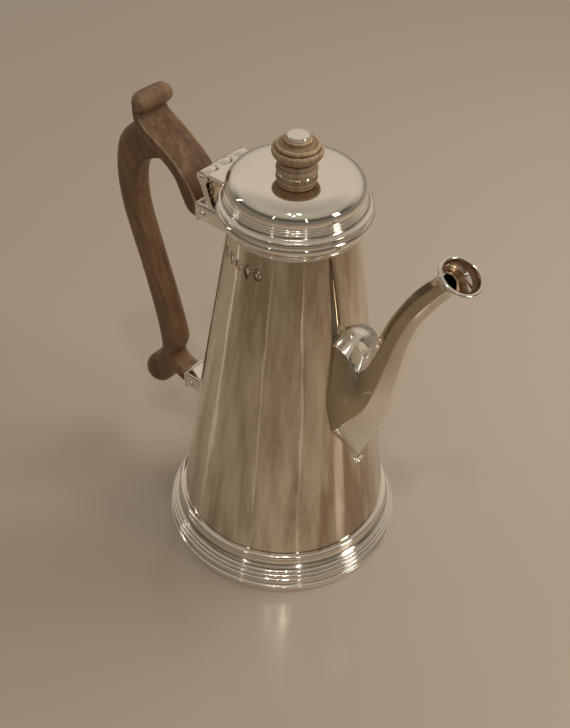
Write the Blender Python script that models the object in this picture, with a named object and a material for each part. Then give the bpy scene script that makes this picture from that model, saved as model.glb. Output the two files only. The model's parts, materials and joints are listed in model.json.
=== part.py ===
"""Silver coffee pot with a carved wooden handle, a swan-neck spout and a hinged lid.

Frame: metres, +Z up, the foot stands on z = 0. The spout points along +X and the handle along -X.
The origin is the middle of the whole object's footprint; the pot's own axis stands at x = POT_X.
Inside the functions, points of the side view are (s, z) in millimetres: s is the distance from
the pot's axis, towards the spout or towards the handle, and z is the height above the table.
"""
import math

import bmesh
import bpy
from mathutils import Matrix, Vector

MM = 0.001

# Driving dimensions, in millimetres.
GAP = 0.3                 # clearance between pieces that touch
TURNS = 48                # sides of a turned piece

BODY_BOTTOM = 3.0
BODY_TOP = 181.8
BODY_R_LOW = 49.07        # outer radius where the foot moulding ends
BODY_Z_LOW = 18.9
BODY_TAPER = 0.1417       # radius lost for each millimetre of height
WALL = 1.2

FOOT_R = 56.4
FOOT_TOP = 19.0
RIM_R = 32.4
RIM_Z = 172.0

FLANGE_R = 31.5
LID_Z = BODY_TOP + GAP
SHOULDER_R = 28.7
CROWN_Z = 196.3
SHEET = 1.2               # thickness of the lid's sheet

HINGE_S = 39.5
HINGE_Z = 182.0
KNUCKLE_R = 3.0
HINGE_HALF = 13.0
PLATE_FOOT_HALF = 8.6     # the fixed plate narrows to this at its foot
PIN_R = 1.2
PIN_CLEARANCE = 0.1

SOCKET_END = 47.5         # mouth of the upper handle socket
SOCKET_LOW, SOCKET_HIGH = 155.8, 164.8
SOCKET_HALF = 9.0
HEEL_SOCKET_END = 61.0    # mouth of the lower handle socket
HEEL_SOCKET_HALF = 6.4
RIVET_R = 0.9

HANDLE_REACH = 101.8      # outermost point of the handle's curve
LIP_S, LIP_Z = 79.0, 184.6
LIP_R = 9.4
LIP_EDGE = 0.9            # thickness of the lip's rolled edge
LIP_TILT = math.radians(66)
SPOUT_REACH = LIP_S + LIP_R * math.sin(LIP_TILT) + LIP_EDGE * math.cos(LIP_TILT)

POT_X = (HANDLE_REACH - SPOUT_REACH) / 2


# ---------------------------------------------------------------- small helpers
def clear_scene():
    for old in list(bpy.data.objects):
        bpy.data.objects.remove(old, do_unlink=True)


def material(name, colour, roughness, metallic):
    made = bpy.data.materials.new(name)
    made.use_nodes = True
    shader = made.node_tree.nodes["Principled BSDF"]
    shader.inputs["Base Color"].default_value = (*colour, 1.0)
    shader.inputs["Roughness"].default_value = roughness
    shader.inputs["Metallic"].default_value = metallic
    return made


def body_radius(z):
    """Outer radius of the conical body at height z."""
    return BODY_R_LOW - BODY_TAPER * (z - BODY_Z_LOW)


def make_object(name, mesh_builder, finish=None, smooth=True):
    """Turn a bmesh in millimetres, about the pot's axis, into an object standing at POT_X."""
    bmesh.ops.scale(mesh_builder, vec=(MM, MM, MM), verts=mesh_builder.verts)
    mesh = bpy.data.meshes.new(name)
    mesh_builder.to_mesh(mesh)
    mesh_builder.free()
    if smooth:
        mesh.shade_smooth()
        mesh.set_sharp_from_angle(angle=math.radians(35))
    made = bpy.data.objects.new(name, mesh)
    made.location.x = POT_X * MM
    if finish:
        mesh.materials.append(finish)
    bpy.context.scene.collection.objects.link(made)
    return made


def turned(name, profile, finish, turns=TURNS):
    """Spin a closed profile of (radius, z) points about the pot's axis."""
    bm = bmesh.new()
    verts = [bm.verts.new((radius, 0, z)) for radius, z in profile]
    edges = [bm.edges.new((a, b)) for a, b in zip(verts, verts[1:])]
    starts_on_axis = profile[0][0] == 0
    if not starts_on_axis:
        edges.append(bm.edges.new((verts[-1], verts[0])))
    bmesh.ops.spin(bm, geom=verts + edges, cent=(0, 0, 0), axis=(0, 0, 1), angle=math.tau,
                   steps=turns, use_merge=True)
    bmesh.ops.remove_doubles(bm, verts=bm.verts, dist=1e-4)
    bmesh.ops.dissolve_degenerate(bm, edges=bm.edges, dist=1e-4)
    bmesh.ops.recalc_face_normals(bm, faces=bm.faces)
    return make_object(name, bm, finish)


def add_box(bm, low, high):
    low, high = Vector(low), Vector(high)
    place = Matrix.Translation((low + high) / 2) @ Matrix.Diagonal((*(high - low), 1))
    bmesh.ops.create_cube(bm, size=1.0, matrix=place)


def box(name, low, high, finish=None, chamfer=0.0):
    """An upright box between two corners, with chamfered edges if asked."""
    bm = bmesh.new()
    add_box(bm, low, high)
    if chamfer:
        bmesh.ops.bevel(bm, geom=list(bm.edges), offset=chamfer, offset_type="OFFSET", segments=2,
                        profile=0.5, affect="EDGES", material=-1)
    return make_object(name, bm, finish)


def rod(name, s, z, radius, y_low, y_high, finish=None, sides=16):
    """A cylinder lying across the pot, along Y, at x = s."""
    bm = bmesh.new()
    add_rod(bm, s, z, radius, y_low, y_high, sides)
    return make_object(name, bm, finish)


def add_rod(bm, s, z, radius, y_low, y_high, sides=16):
    place = Matrix.Translation((s, (y_low + y_high) / 2, z)) @ Matrix.Rotation(math.pi / 2, 4, "X")
    bmesh.ops.create_cone(bm, cap_ends=True, segments=sides, radius1=radius, radius2=radius,
                          depth=y_high - y_low, matrix=place)


def cross_pin(name, s, z, half_profile, finish):
    """A turned pin lying across the pot at x = -s, the same at both ends."""
    profile = half_profile + [(radius, -along) for radius, along in reversed(half_profile)]
    bm = bmesh.new()
    verts = [bm.verts.new((radius, 0, along)) for radius, along in profile]
    edges = [bm.edges.new((a, b)) for a, b in zip(verts, verts[1:])]
    bmesh.ops.spin(bm, geom=verts + edges, cent=(0, 0, 0), axis=(0, 0, 1), angle=math.tau,
                   steps=16, use_merge=True)
    bmesh.ops.remove_doubles(bm, verts=bm.verts, dist=1e-4)
    bmesh.ops.recalc_face_normals(bm, faces=bm.faces)
    lay_down = Matrix.Rotation(math.pi / 2, 3, "X")
    bmesh.ops.rotate(bm, cent=(0, 0, 0), matrix=lay_down, verts=bm.verts)
    bmesh.ops.translate(bm, vec=(-s, 0, z), verts=bm.verts)
    return make_object(name, bm, finish)


def smooth_path(points, steps=5):
    """Points along a smooth curve through the given (s, z) points."""
    path = []
    ends = [points[0]] + list(points) + [points[-1]]
    for i in range(1, len(ends) - 2):
        p0, p1, p2, p3 = (Vector(ends[i + k]) for k in (-1, 0, 1, 2))
        for step in range(steps):
            t = step / steps
            path.append(0.5 * (2 * p1 + (p2 - p0) * t + (2 * p0 - 5 * p1 + 4 * p2 - p3) * t * t
                               + (3 * p1 - p0 - 3 * p2 + p3) * t ** 3))
    path.append(Vector(points[-1]))
    return path


def plate_from_outline(name, outline, half_width, finish, chamfer):
    """Cut a side view out of a plank lying across the pot, with chamfered edges."""
    bm = bmesh.new()
    verts = [bm.verts.new((-s, -half_width + chamfer, z)) for s, z in outline]
    face = bm.faces.new(verts)
    grown = bmesh.ops.extrude_face_region(bm, geom=[face])
    moved = [v for v in grown["geom"] if isinstance(v, bmesh.types.BMVert)]
    bmesh.ops.translate(bm, vec=(0, 2 * (half_width - chamfer), 0), verts=moved)
    bmesh.ops.recalc_face_normals(bm, faces=bm.faces)
    sides = [f for f in bm.faces if len(f.verts) > 4]
    for cap in sides:
        bmesh.ops.inset_region(bm, faces=[cap], thickness=chamfer, depth=chamfer,
                               use_even_offset=True)
    bmesh.ops.remove_doubles(bm, verts=bm.verts, dist=1e-3)
    bmesh.ops.dissolve_degenerate(bm, edges=bm.edges, dist=1e-3)
    return make_object(name, bm, finish)


def combine(target, tool, operation):
    """Add a Boolean whose tool is hidden from the model."""
    tool.hide_render = True
    tool.display_type = "WIRE"
    step = target.modifiers.new(tool.name, "BOOLEAN")
    step.operation = operation
    step.solver = "EXACT"
    step.object = tool
    return target


def body_cutter(name, growth, top=200.0):
    """A solid cone a little larger than the body, to trim what is soldered on to it."""
    profile = [(0, top), (body_radius(top) + growth, top), (body_radius(-5) + growth, -5), (0, -5)]
    return turned(name, profile, None)


def lathe_cutter(name, radius, low, high):
    return turned(name, [(0, high), (radius, high), (radius, low), (0, low)], None)


# ---------------------------------------------------------------- the vessel
def make_body(silver):
    """The conical sheet body, open at the top, with strainer holes behind the spout."""
    outer_low, outer_high = body_radius(BODY_BOTTOM), body_radius(BODY_TOP)
    shell = turned("body_shell", [
        (outer_high, BODY_TOP), (outer_low, BODY_BOTTOM),
        (outer_low - WALL, BODY_BOTTOM), (outer_high - WALL, BODY_TOP)], silver)
    bm = bmesh.new()
    row_pitch, column_pitch, hole_r = 8.0, 5.5, 1.5
    for row in range(5):
        columns = (-1, 0, 1) if row % 2 == 0 else (-0.5, 0.5)
        for column in columns:
            place = (Matrix.Translation((40, column * column_pitch, 84 + row * row_pitch))
                     @ Matrix.Rotation(math.pi / 2, 4, "Y"))
            bmesh.ops.create_cone(bm, cap_ends=True, segments=8, radius1=hole_r, radius2=hole_r,
                                  depth=20, matrix=place)
    combine(shell, make_object("strainer_drills", bm), "DIFFERENCE")


def make_base_plate(silver):
    radius = body_radius(8.0) - WALL - GAP
    turned("base_plate", [(0, 8.6), (radius - 4, 8.6), (radius - 0.3, 7.4), (radius - 0.3, 6.2),
                          (radius - 4, 7.4), (0, 7.4)], silver)


def make_foot(silver):
    """The reeded foot moulding, soldered round the foot of the body. The pot stands on it."""
    reeds = []
    for radius, z in ((53.1, 10.4), (54.1, 8.5), (55.1, 6.6)):
        reeds += [(radius + 0.45, z + 0.75), (radius + 0.8, z), (radius + 0.45, z - 0.75)]
    inner = body_radius(FOOT_TOP) + GAP
    turned("foot_ring", [(inner, FOOT_TOP), (50.6, 18.6), (51.2, 17.3), (50.5, 16.0),
                         (50.9, 15.6), (51.2, 13.8), (52.4, 11.9)] + reeds
           + [(55.3, 5.2), (FOOT_R, 2.6), (FOOT_R, 0.0), (51.6, 0.0),
              (body_radius(0.0) + GAP, 2.4)], silver)


def make_rim(silver):
    """The moulded band soldered round the mouth, on which the lid rests."""
    turned("rim_moulding", [
        (body_radius(BODY_TOP) + GAP, BODY_TOP), (31.2, BODY_TOP), (32.0, 180.9),
        (RIM_R, 179.4), (32.0, 177.9), (31.0, 176.8), (29.6, 175.6), (28.4, 173.6),
        (28.1, RIM_Z), (body_radius(RIM_Z) + GAP, RIM_Z)], silver)


# ---------------------------------------------------------------- the spout
# Each station of the spout: its keel point and its back point in the side view, its half width,
# and how far it has changed from the shield-shaped root (0) to the regular octagon of the neck (1).
SPOUT_STATIONS = [
    ((39.4, 59.6), (27.0, 131.0), 15.8, 0.0),
    ((43.2, 65.2), (33.2, 132.4), 15.8, 0.0),
    ((47.0, 76.6), (38.2, 131.6), 15.0, 0.1),
    ((51.8, 88.0), (41.2, 127.8), 13.2, 0.25),
    ((55.3, 98.0), (42.8, 126.6), 11.3, 0.45),
    ((57.6, 110.0), (43.8, 127.8), 9.5, 0.7),
    ((59.2, 121.0), (45.2, 131.2), 8.2, 0.9),
    ((60.6, 131.0), (47.1, 136.6), 7.0, 1.0),
    ((61.9, 140.6), (49.9, 144.4), 6.2, 1.0),
    ((63.6, 147.6), (52.7, 152.2), 5.8, 1.0),
    ((66.4, 156.5), (57.2, 161.8), 5.3, 1.0),
    ((71.0, 165.2), (62.3, 171.0), 5.1, 1.0),
    ((76.0, 173.4), (68.3, 179.2), 4.9, 1.0),
    ((78.6, 177.4), (71.4, 183.0), 4.7, 1.0),
]

# Corners of one side of a section, from the back down to the keel: how far along from the middle
# to the back (1) or the keel (-1), and how far out sideways (1 is the half width).
ROOT_CORNERS = [(1.0, 0.3), (0.93, 0.66), (0.15, 1.0), (-0.28, 0.92), (-1.0, 0.08)]
NECK_CORNERS = [(1.0, 0.42), (0.42, 1.0), (0.04, 1.0), (-0.34, 1.0), (-1.0, 0.42)]
ROOT_CROWN = 0.05         # how far the middle of the root's back stands above its corners


def spout_ring(keel, back, half_width, change, inset):
    """One section of the spout as a ring of points, moved inwards by inset."""
    keel, back = Vector(keel), Vector(back)
    middle, reach = (keel + back) / 2, (back - keel) / 2
    reach *= (reach.length - inset) / reach.length
    width = half_width - inset
    side = [(u0 + (u1 - u0) * change, v0 + (v1 - v0) * change)
            for (u0, v0), (u1, v1) in zip(ROOT_CORNERS, NECK_CORNERS)]
    corners = [(1.0 + ROOT_CROWN * (1.0 - change), 0.0)] + side
    corners += [(u, -v) for u, v in reversed(side)]
    points = []
    for u, v in corners:
        spot = middle + reach * u
        points.append(Vector((spot.x, v * width, spot.y)))
    return points


def loft(name, rings, finish):
    """Extrude the first ring of points through all the others, and weld the last to the first."""
    bm = bmesh.new()
    verts = [bm.verts.new(point) for point in rings[0]]
    edges = [bm.edges.new((a, b)) for a, b in zip(verts, verts[1:] + verts[:1])]
    for ring in rings[1:] + rings[:1]:
        grown = bmesh.ops.extrude_edge_only(bm, edges=edges)["geom"]
        fresh = {v for v in grown if isinstance(v, bmesh.types.BMVert)}
        following = []
        for old, point in zip(verts, ring):
            partner = next(e.other_vert(old) for e in old.link_edges if e.other_vert(old) in fresh)
            partner.co = point
            following.append(partner)
        verts = following
        edges = [bm.edges.get((a, b)) for a, b in zip(verts, verts[1:] + verts[:1])]
    bmesh.ops.remove_doubles(bm, verts=bm.verts, dist=1e-4)
    bmesh.ops.recalc_face_normals(bm, faces=bm.faces)
    return make_object(name, bm, finish)


def make_spout(silver):
    """The faceted swan-neck spout: a hollow loft, trimmed to the body at its root."""
    outside = [spout_ring(*station, 0.0) for station in SPOUT_STATIONS]
    inside = [spout_ring(*station, SHEET) for station in SPOUT_STATIONS]
    spout = loft("spout_shell", outside + inside[::-1], silver)
    combine(spout, body_cutter("spout_trim", GAP), "DIFFERENCE")


def make_spout_drop(silver):
    """The small lip that finishes the spout's keel on the body."""
    bm = bmesh.new()
    z = 62.0
    place = Matrix.Translation((body_radius(z) + 0.3, 0, z)) @ Matrix.Diagonal((1.9, 3.0, 1.4, 1.0))
    bmesh.ops.create_icosphere(bm, subdivisions=2, radius=1.0, matrix=place)
    drop = make_object("spout_drop", bm, silver)
    combine(drop, body_cutter("drop_trim", GAP), "DIFFERENCE")


def make_lip(silver):
    """The flared mouth of the spout. Its profile is walked up the outside and back down the
    inside: how far up the flare (0 to 1), how far past its end, and the radius there."""
    start, start_tilt = Vector((75.5, 180.7)), math.radians(52)
    end = Vector((LIP_S, LIP_Z))
    profile = [(0.0, 0.0, 5.5), (0.35, 0.0, 6.4), (0.7, 0.0, 7.7), (0.9, 0.0, 8.8),
               (1.0, 0.0, LIP_R), (1.0, LIP_EDGE, LIP_R), (1.0, LIP_EDGE + 0.2, 8.6),
               (1.0, 0.4, 7.8), (0.7, 0.0, 6.2), (0.35, 0.0, 4.9), (0.0, 0.0, 4.3)]
    sides = 24
    rings = []
    for flare, beyond, radius in profile:
        tilt = start_tilt + (LIP_TILT - start_tilt) * flare
        axis = Vector((math.cos(tilt), math.sin(tilt)))
        middle = start.lerp(end, flare) + axis * beyond
        across = Vector((axis.y, -axis.x))
        ring = []
        for k in range(sides):
            angle = math.tau * k / sides
            spot = middle + across * radius * math.cos(angle)
            ring.append(Vector((spot.x, radius * math.sin(angle), spot.y)))
        rings.append(ring)
    loft("spout_lip", rings, silver)


# ---------------------------------------------------------------- the handle and its sockets
STEM_TOP = [(47.8, 164.3), (50.6, 168.8), (53.8, 173.2), (57.6, 176.8), (62.2, 180.1), (67.4, 183.4),
            (72.6, 186.2), (77.0, 188.5), (79.6, 191.0), (80.4, 193.6)]
THUMB_ROLL = (80.3, 198.1, 4.3)      # s, z and radius of the rolled thumb piece
STEM_BACK = [(84.8, 199.6), (87.0, 193.8), (86.8, 187.4), (84.0, 181.6), (78.4, 177.0),
             (72.6, 173.8), (67.2, 170.8), (61.8, 166.6), (57.2, 160.8), (53.4, 156.9),
             (47.8, 156.3)]
LOOP_OUTER = [(74.0, 183.0), (80.0, 186.0), (85.0, 186.4), (89.9, 184.0), (93.9, 180.6), (97.3, 176.4),
              (99.3, 172.2), (100.6, 167.6), (101.5, 162.0), (HANDLE_REACH, 156.0), (101.5, 149.6),
              (100.5, 142.6), (98.9, 135.4), (95.7, 125.6), (90.3, 110.5), (85.4, 95.0), (81.2, 80.0),
              (78.8, 67.0), (79.2, 60.5), (83.0, 55.0), (88.6, 48.6), (91.0, 42.6), (89.6, 37.4),
              (85.0, 35.0), (79.6, 36.4), (75.4, 40.6), (72.2, 45.6), (68.6, 48.8)]
LOOP_INNER = [(67.6, 57.8), (69.4, 60.8), (66.6, 69.4), (68.4, 78.5), (73.4, 94.5), (78.8, 110.0),
              (84.2, 125.8), (87.8, 137.0), (89.3, 147.6), (89.1, 155.0), (87.8, 161.2),
              (84.6, 165.8), (80.0, 169.4), (74.3, 172.0), (68.0, 173.6)]


def arc(s, z, radius, start, end, steps):
    """Points of a circle in the side view, from one angle to another in degrees."""
    angles = [math.radians(start + (end - start) * k / steps) for k in range(steps + 1)]
    return [Vector((s + radius * math.cos(a), z + radius * math.sin(a))) for a in angles]


def make_handle(wood):
    """One piece of carved wood: a broad stem with its thumb roll, and the loop with its heel."""
    roll = arc(*THUMB_ROLL, 265, 20, 9)
    stem_line = smooth_path(STEM_TOP, 2) + roll + smooth_path(STEM_BACK, 2)
    stem = plate_from_outline("handle", stem_line, 9.4, wood, 1.6)
    loop_line = smooth_path(LOOP_OUTER, 3) + [Vector((HEEL_SOCKET_END + GAP, 47.3)),
                                              Vector((HEEL_SOCKET_END + GAP, 55.6))]
    loop_line += smooth_path(LOOP_INNER, 3)
    loop = plate_from_outline("handle_loop", loop_line, 5.9, None, 1.6)
    combine(stem, loop, "UNION")
    upper_tenon = box("upper_tenon", (-50, -7.2, 158.0), (-36, 7.2, 162.6))
    lower_tenon = box("lower_tenon", (-64, -4.6, 49.8), (-51, 4.6, 52.8))
    combine(stem, upper_tenon, "UNION")
    combine(stem, lower_tenon, "UNION")
    for name, s, z in rivets():
        drill = rod(name + "_drill_wood", -s, z, RIVET_R + GAP, -20, 20)
        combine(stem, drill, "DIFFERENCE")


def rivets():
    """Name, s and z of the two pins that hold the wood in its sockets."""
    return [("upper_socket_pin", 43.6, 160.3), ("lower_socket_pin", 56.4, 51.3)]


def make_sockets(silver):
    """Two silver sockets soldered to the body, hollow for the handle's tenons, and their pins."""
    trim = body_cutter("socket_trim", GAP)
    upper = box("upper_socket", (-SOCKET_END, -SOCKET_HALF, SOCKET_LOW),
                (-20, SOCKET_HALF, SOCKET_HIGH), silver, chamfer=1.4)
    lower = box("lower_socket", (-HEEL_SOCKET_END, -HEEL_SOCKET_HALF, 46.8),
                (-35, HEEL_SOCKET_HALF, 55.8), silver, chamfer=1.4)
    upper_pocket = box("upper_pocket", (-60, -7.5, 157.7), (-35.2, 7.5, 162.9))
    lower_pocket = box("lower_pocket", (-75, -4.9, 49.5), (-50.2, 4.9, 53.1))
    for socket, pocket in ((upper, upper_pocket), (lower, lower_pocket)):
        combine(socket, trim, "DIFFERENCE")
        combine(socket, pocket, "DIFFERENCE")
    for (name, s, z), socket, half in zip(rivets(), (upper, lower),
                                          (SOCKET_HALF, HEEL_SOCKET_HALF)):
        combine(socket, rod(name + "_drill", -s, z, RIVET_R + GAP, -20, 20), "DIFFERENCE")
        make_rivet(name, s, z, half, silver)


def make_rivet(name, s, z, half, silver):
    """A pin across a socket, with a low domed head at each end."""
    head_r, face = 1.7, half + GAP
    cross_pin(name, s, z, [(0, face + 1.0), (0.9, face + 0.8), (1.5, face + 0.35),
                           (head_r, face), (RIVET_R, face)], silver)


# ---------------------------------------------------------------- the hinge
BODY_KNUCKLES = [(-HINGE_HALF, -6.0), (-2.8, 2.8), (6.0, HINGE_HALF)]
LID_KNUCKLES = [(-5.7, -3.1), (3.1, 5.7)]


def bored(target, name):
    """Bore a knuckle piece for the hinge pin."""
    drill = rod(name, -HINGE_S, HINGE_Z, PIN_R + PIN_CLEARANCE, -20, 20)
    return combine(target, drill, "DIFFERENCE")


def make_hinge_plate(silver):
    """The fixed half: an upright plate on the upper socket that carries three knuckles."""
    plate_low, plate_top = SOCKET_HIGH + GAP, HINGE_Z - KNUCKLE_R - GAP
    bm = bmesh.new()
    add_box(bm, (-41.2, -HINGE_HALF, plate_low), (-37.6, HINGE_HALF, plate_top))
    for vert in bm.verts:
        if vert.co.z < plate_top - 1:
            vert.co.y *= PLATE_FOOT_HALF / HINGE_HALF
    plate = make_object("hinge_plate", bm, silver)
    for index, (low, high) in enumerate(BODY_KNUCKLES):
        web = box(f"fixed_web_{index}", (-41.0, low, plate_top - 1), (-38.0, high, HINGE_Z))
        combine(plate, web, "UNION")
        combine(plate, rod(f"fixed_knuckle_{index}", -HINGE_S, HINGE_Z, KNUCKLE_R, low, high),
                "UNION")
    bored(plate, "fixed_bore")


def make_lid_leaf(silver):
    """The moving half: a flat leaf on the lid with two knuckles."""
    leaf_low, leaf_top, leaf_end = 182.7, 184.6, HINGE_S - KNUCKLE_R - 0.5
    leaf = box("lid_hinge_leaf", (-leaf_end, -12.6, leaf_low), (-20, 12.6, leaf_top), silver)
    combine(leaf, lathe_cutter("leaf_trim", FLANGE_R + GAP, 170, 200), "DIFFERENCE")
    for index, (low, high) in enumerate(LID_KNUCKLES):
        web = box(f"moving_web_{index}", (-HINGE_S, low, leaf_low), (-leaf_end + 1, high, leaf_top))
        combine(leaf, web, "UNION")
        combine(leaf, rod(f"moving_knuckle_{index}", -HINGE_S, HINGE_Z, KNUCKLE_R, low, high),
                "UNION")
    bored(leaf, "moving_bore")


def make_hinge_pin(silver):
    """The pin through all five knuckles, peened to a dome at each end."""
    face = HINGE_HALF + GAP
    cross_pin("hinge_pin", HINGE_S, HINGE_Z, [(0, face + 0.9), (1.0, face + 0.65), (1.7, face),
                                              (PIN_R, face)], silver)


# ---------------------------------------------------------------- the lid
def make_lid(silver, wood):
    """The domed cover, its moulded flange, the bezel that centres it, and the finial."""
    cover_low = 187.9
    turned("lid_cover", [
        (1.8, CROWN_Z), (12.0, 196.1), (20.0, 195.5), (25.0, 194.2), (27.6, 192.3),
        (SHOULDER_R, 190.0), (28.3, cover_low), (28.3 - SHEET, cover_low),
        (SHOULDER_R - SHEET, 190.0), (26.5, 191.6), (24.4, 193.1), (20.0, 194.3),
        (12.0, 194.9), (1.8, CROWN_Z - SHEET)], silver)
    bezel_r = body_radius(BODY_TOP) - WALL - 0.9
    turned("lid_flange", [
        (bezel_r + GAP, cover_low - GAP), (28.5, cover_low - GAP), (29.2, 186.9), (28.9, 186.1),
        (29.8, 185.2), (29.7, 184.5), (30.2, 183.6), (FLANGE_R, 183.1), (FLANGE_R, LID_Z),
        (bezel_r + GAP, LID_Z)], silver)
    turned("lid_bezel", [
        (bezel_r, 186.8), (bezel_r, 177.0), (bezel_r - 0.5, 176.4), (bezel_r - SHEET, 176.4),
        (bezel_r - SHEET, 186.8)], silver)
    turned("finial_collar", [(1.8, 197.2), (7.5, 197.2), (7.8, 196.9), (7.6, 196.6), (1.8, 196.6)],
           silver, 32)
    turned("finial", [
        (1.7, 211.2), (5.0, 211.2), (5.5, 210.4), (5.8, 209.8), (7.0, 209.2), (8.6, 208.9),
        (9.0, 208.0), (9.4, 207.5), (10.4, 206.4), (10.2, 204.9), (8.6, 203.2), (7.2, 202.6),
        (7.1, 202.0), (8.0, 201.3), (8.0, 200.4), (7.6, 199.9), (8.3, 199.3), (8.5, 198.4),
        (8.0, 197.5), (1.7, 197.5)], wood, 32)
    turned("finial_screw", [
        (0, 213.2), (3.4, 213.0), (4.4, 212.6), (4.7, 211.5), (1.3, 211.5), (1.3, 188.6),
        (0, 188.6)], silver, 24)
    turned("finial_washer", [(1.8, 194.8), (5.0, 194.7), (5.0, 193.9), (1.8, 193.9)], silver, 24)
    bm = bmesh.new()
    bmesh.ops.create_cone(bm, cap_ends=True, segments=6, radius1=3.9, radius2=3.9, depth=2.6,
                          matrix=Matrix.Translation((0, 0, 192.3)))
    nut = make_object("finial_nut", bm, silver, smooth=False)
    combine(nut, lathe_cutter("nut_bore", 1.65, 188, 197), "DIFFERENCE")


LID_PIECES = ("lid_hinge_leaf", "lid_cover", "lid_flange", "lid_bezel", "finial_collar", "finial",
              "finial_screw", "finial_washer", "finial_nut")


def hang_lid():
    """Parent every piece of the lid to an empty on the hinge's axis."""
    pivot = bpy.data.objects.new("lid_pivot", None)
    pivot.location = ((POT_X - HINGE_S) * MM, 0, HINGE_Z * MM)
    bpy.context.scene.collection.objects.link(pivot)
    for name in LID_PIECES:
        piece = bpy.data.objects[name]
        piece.parent = pivot
        piece.location -= pivot.location


def main():
    clear_scene()
    silver = material("polished_silver", (0.86, 0.84, 0.80), 0.12, 1.0)
    wood = material("fruitwood", (0.23, 0.12, 0.065), 0.45, 0.0)
    make_body(silver)
    make_base_plate(silver)
    make_foot(silver)
    make_rim(silver)
    make_spout(silver)
    make_spout_drop(silver)
    make_lip(silver)
    make_handle(wood)
    make_sockets(silver)
    make_hinge_plate(silver)
    make_lid_leaf(silver)
    make_hinge_pin(silver)
    make_lid(silver, wood)
    hang_lid()


main()
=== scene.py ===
# %% [markdown]
# # A silver coffee pot with a carved wooden handle
#
# This lesson dresses a working model of a coffee pot. The model already holds the sizes, the
# hinge and the solids that a physics program uses. Here every visible piece is made again as
# fine mesh, with the profile a silversmith would turn or a carver would cut, and each finish is
# built from nodes.
#
# Loading the frame first means that each new piece can be placed from the model's own boxes.

# %% Load the working model
import json
import math

import bmesh
import bpy
from mathutils import Matrix, Vector


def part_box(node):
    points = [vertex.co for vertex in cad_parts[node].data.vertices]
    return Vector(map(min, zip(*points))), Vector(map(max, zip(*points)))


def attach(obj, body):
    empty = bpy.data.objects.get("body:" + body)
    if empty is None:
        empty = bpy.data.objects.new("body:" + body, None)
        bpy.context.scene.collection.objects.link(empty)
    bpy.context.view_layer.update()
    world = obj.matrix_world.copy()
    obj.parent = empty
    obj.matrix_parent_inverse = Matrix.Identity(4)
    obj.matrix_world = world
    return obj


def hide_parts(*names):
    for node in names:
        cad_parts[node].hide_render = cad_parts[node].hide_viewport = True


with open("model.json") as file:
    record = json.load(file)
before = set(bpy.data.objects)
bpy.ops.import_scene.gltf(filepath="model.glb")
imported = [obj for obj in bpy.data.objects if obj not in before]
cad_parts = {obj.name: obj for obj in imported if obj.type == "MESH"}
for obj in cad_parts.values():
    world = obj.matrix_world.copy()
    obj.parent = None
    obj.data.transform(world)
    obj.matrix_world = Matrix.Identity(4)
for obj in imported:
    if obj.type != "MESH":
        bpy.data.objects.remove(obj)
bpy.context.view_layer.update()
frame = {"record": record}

# %% [markdown]
# ## Measures shared by the pieces
#
# A silversmith works from the pot's own axis, so the pieces below are drawn about that axis in
# millimetres, and moved to their place in the frame only when they are finished. In the side
# view a point is (s, z): s is the distance from the axis and z the height above the table.
# The axis, the height of the rim and the reach of the handle are read from the model.

# %% Read the main measures
MM = 0.001
SEAM = 0.1        # how far a soldered piece sinks into its neighbour, so that no gap shows
TAPER = 0.1417    # how much the body's radius shrinks for each millimetre upwards
shell_low, shell_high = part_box("body_shell")
AXIS_X = (shell_low.x + shell_high.x) / 2


def node_box(node):
    """Lowest and highest corner of a node in millimetres, about the pot's axis."""
    low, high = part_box(node)
    move = Vector((AXIS_X, 0.0, 0.0))
    return (low - move) / MM, (high - move) / MM


body_low, body_high = node_box("body_shell")
BODY_TOP = body_high.z
FOOT_R = node_box("foot_ring")[1].y
FLANGE_R = node_box("lid_flange")[1].y
HANDLE_REACH = -node_box("handle")[0].x
hinge = frame["record"]["behaviour"]["joints"][0]["pos_m"]
HINGE_S, HINGE_Z = (AXIS_X - hinge[0]) / MM, hinge[2] / MM
print("foot radius", round(FOOT_R, 1), "flange radius", round(FLANGE_R, 1),
      "hinge at", round(HINGE_S, 1))


def body_radius(z):
    """Radius of the conical body at height z, measured from its foot."""
    return body_high.y - TAPER * (z - body_low.z)


# %% [markdown]
# ## Helpers for mesh work
#
# Most of a coffee pot is turned or drawn over a stake, so one helper spins a profile. The others
# draw arcs and smooth lines, and turn a finished bmesh into an object that stands at the origin
# with its place in its mesh.
#
# Profiles could be drawn as curves and revolved by a modifier. Plain lists of points are used
# because they can be measured and joined to each other by name.

# %% Profile helpers
def arc(s, z, radius, start, end, steps):
    """Points on a circle in the side view, between two angles in degrees."""
    points = []
    for k in range(steps + 1):
        angle = math.radians(start + (end - start) * k / steps)
        points.append((s + radius * math.cos(angle), z + radius * math.sin(angle)))
    return points


def smooth_line(points, steps=5):
    """A smooth curve through points that hold any count of numbers."""
    ends = [points[0]] + list(points) + [points[-1]]
    line = []
    for i in range(1, len(ends) - 2):
        before, here, there, after = (Vector(ends[i + k]) for k in (-1, 0, 1, 2))
        for step in range(steps):
            t = step / steps
            line.append(0.5 * (2 * here + (there - before) * t
                               + (2 * before - 5 * here + 4 * there - after) * t ** 2
                               + (3 * here - before - 3 * there + after) * t ** 3))
    line.append(Vector(points[-1]))
    return line


def mix(a, b, t):
    """The value a share t of the way from a to b."""
    return a + (b - a) * t


def smooth_step(t):
    """A share from 0 to 1 that starts and ends gently."""
    t = min(1.0, max(0.0, t))
    return t * t * (3 - 2 * t)


# %% [markdown]
# ## Wear on grooves and ridges
#
# A cloth polishes what stands proud and leaves tarnish in what lies deep. This could be painted
# by hand, or worked out by the shader's bevel node, which makes every render slower. Here
# `mark_wear` measures how sharply the surface bends at each point, and keeps two values on the
# mesh, `hollow` for grooves and `arris` for ridges, for the finishes to read.

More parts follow.
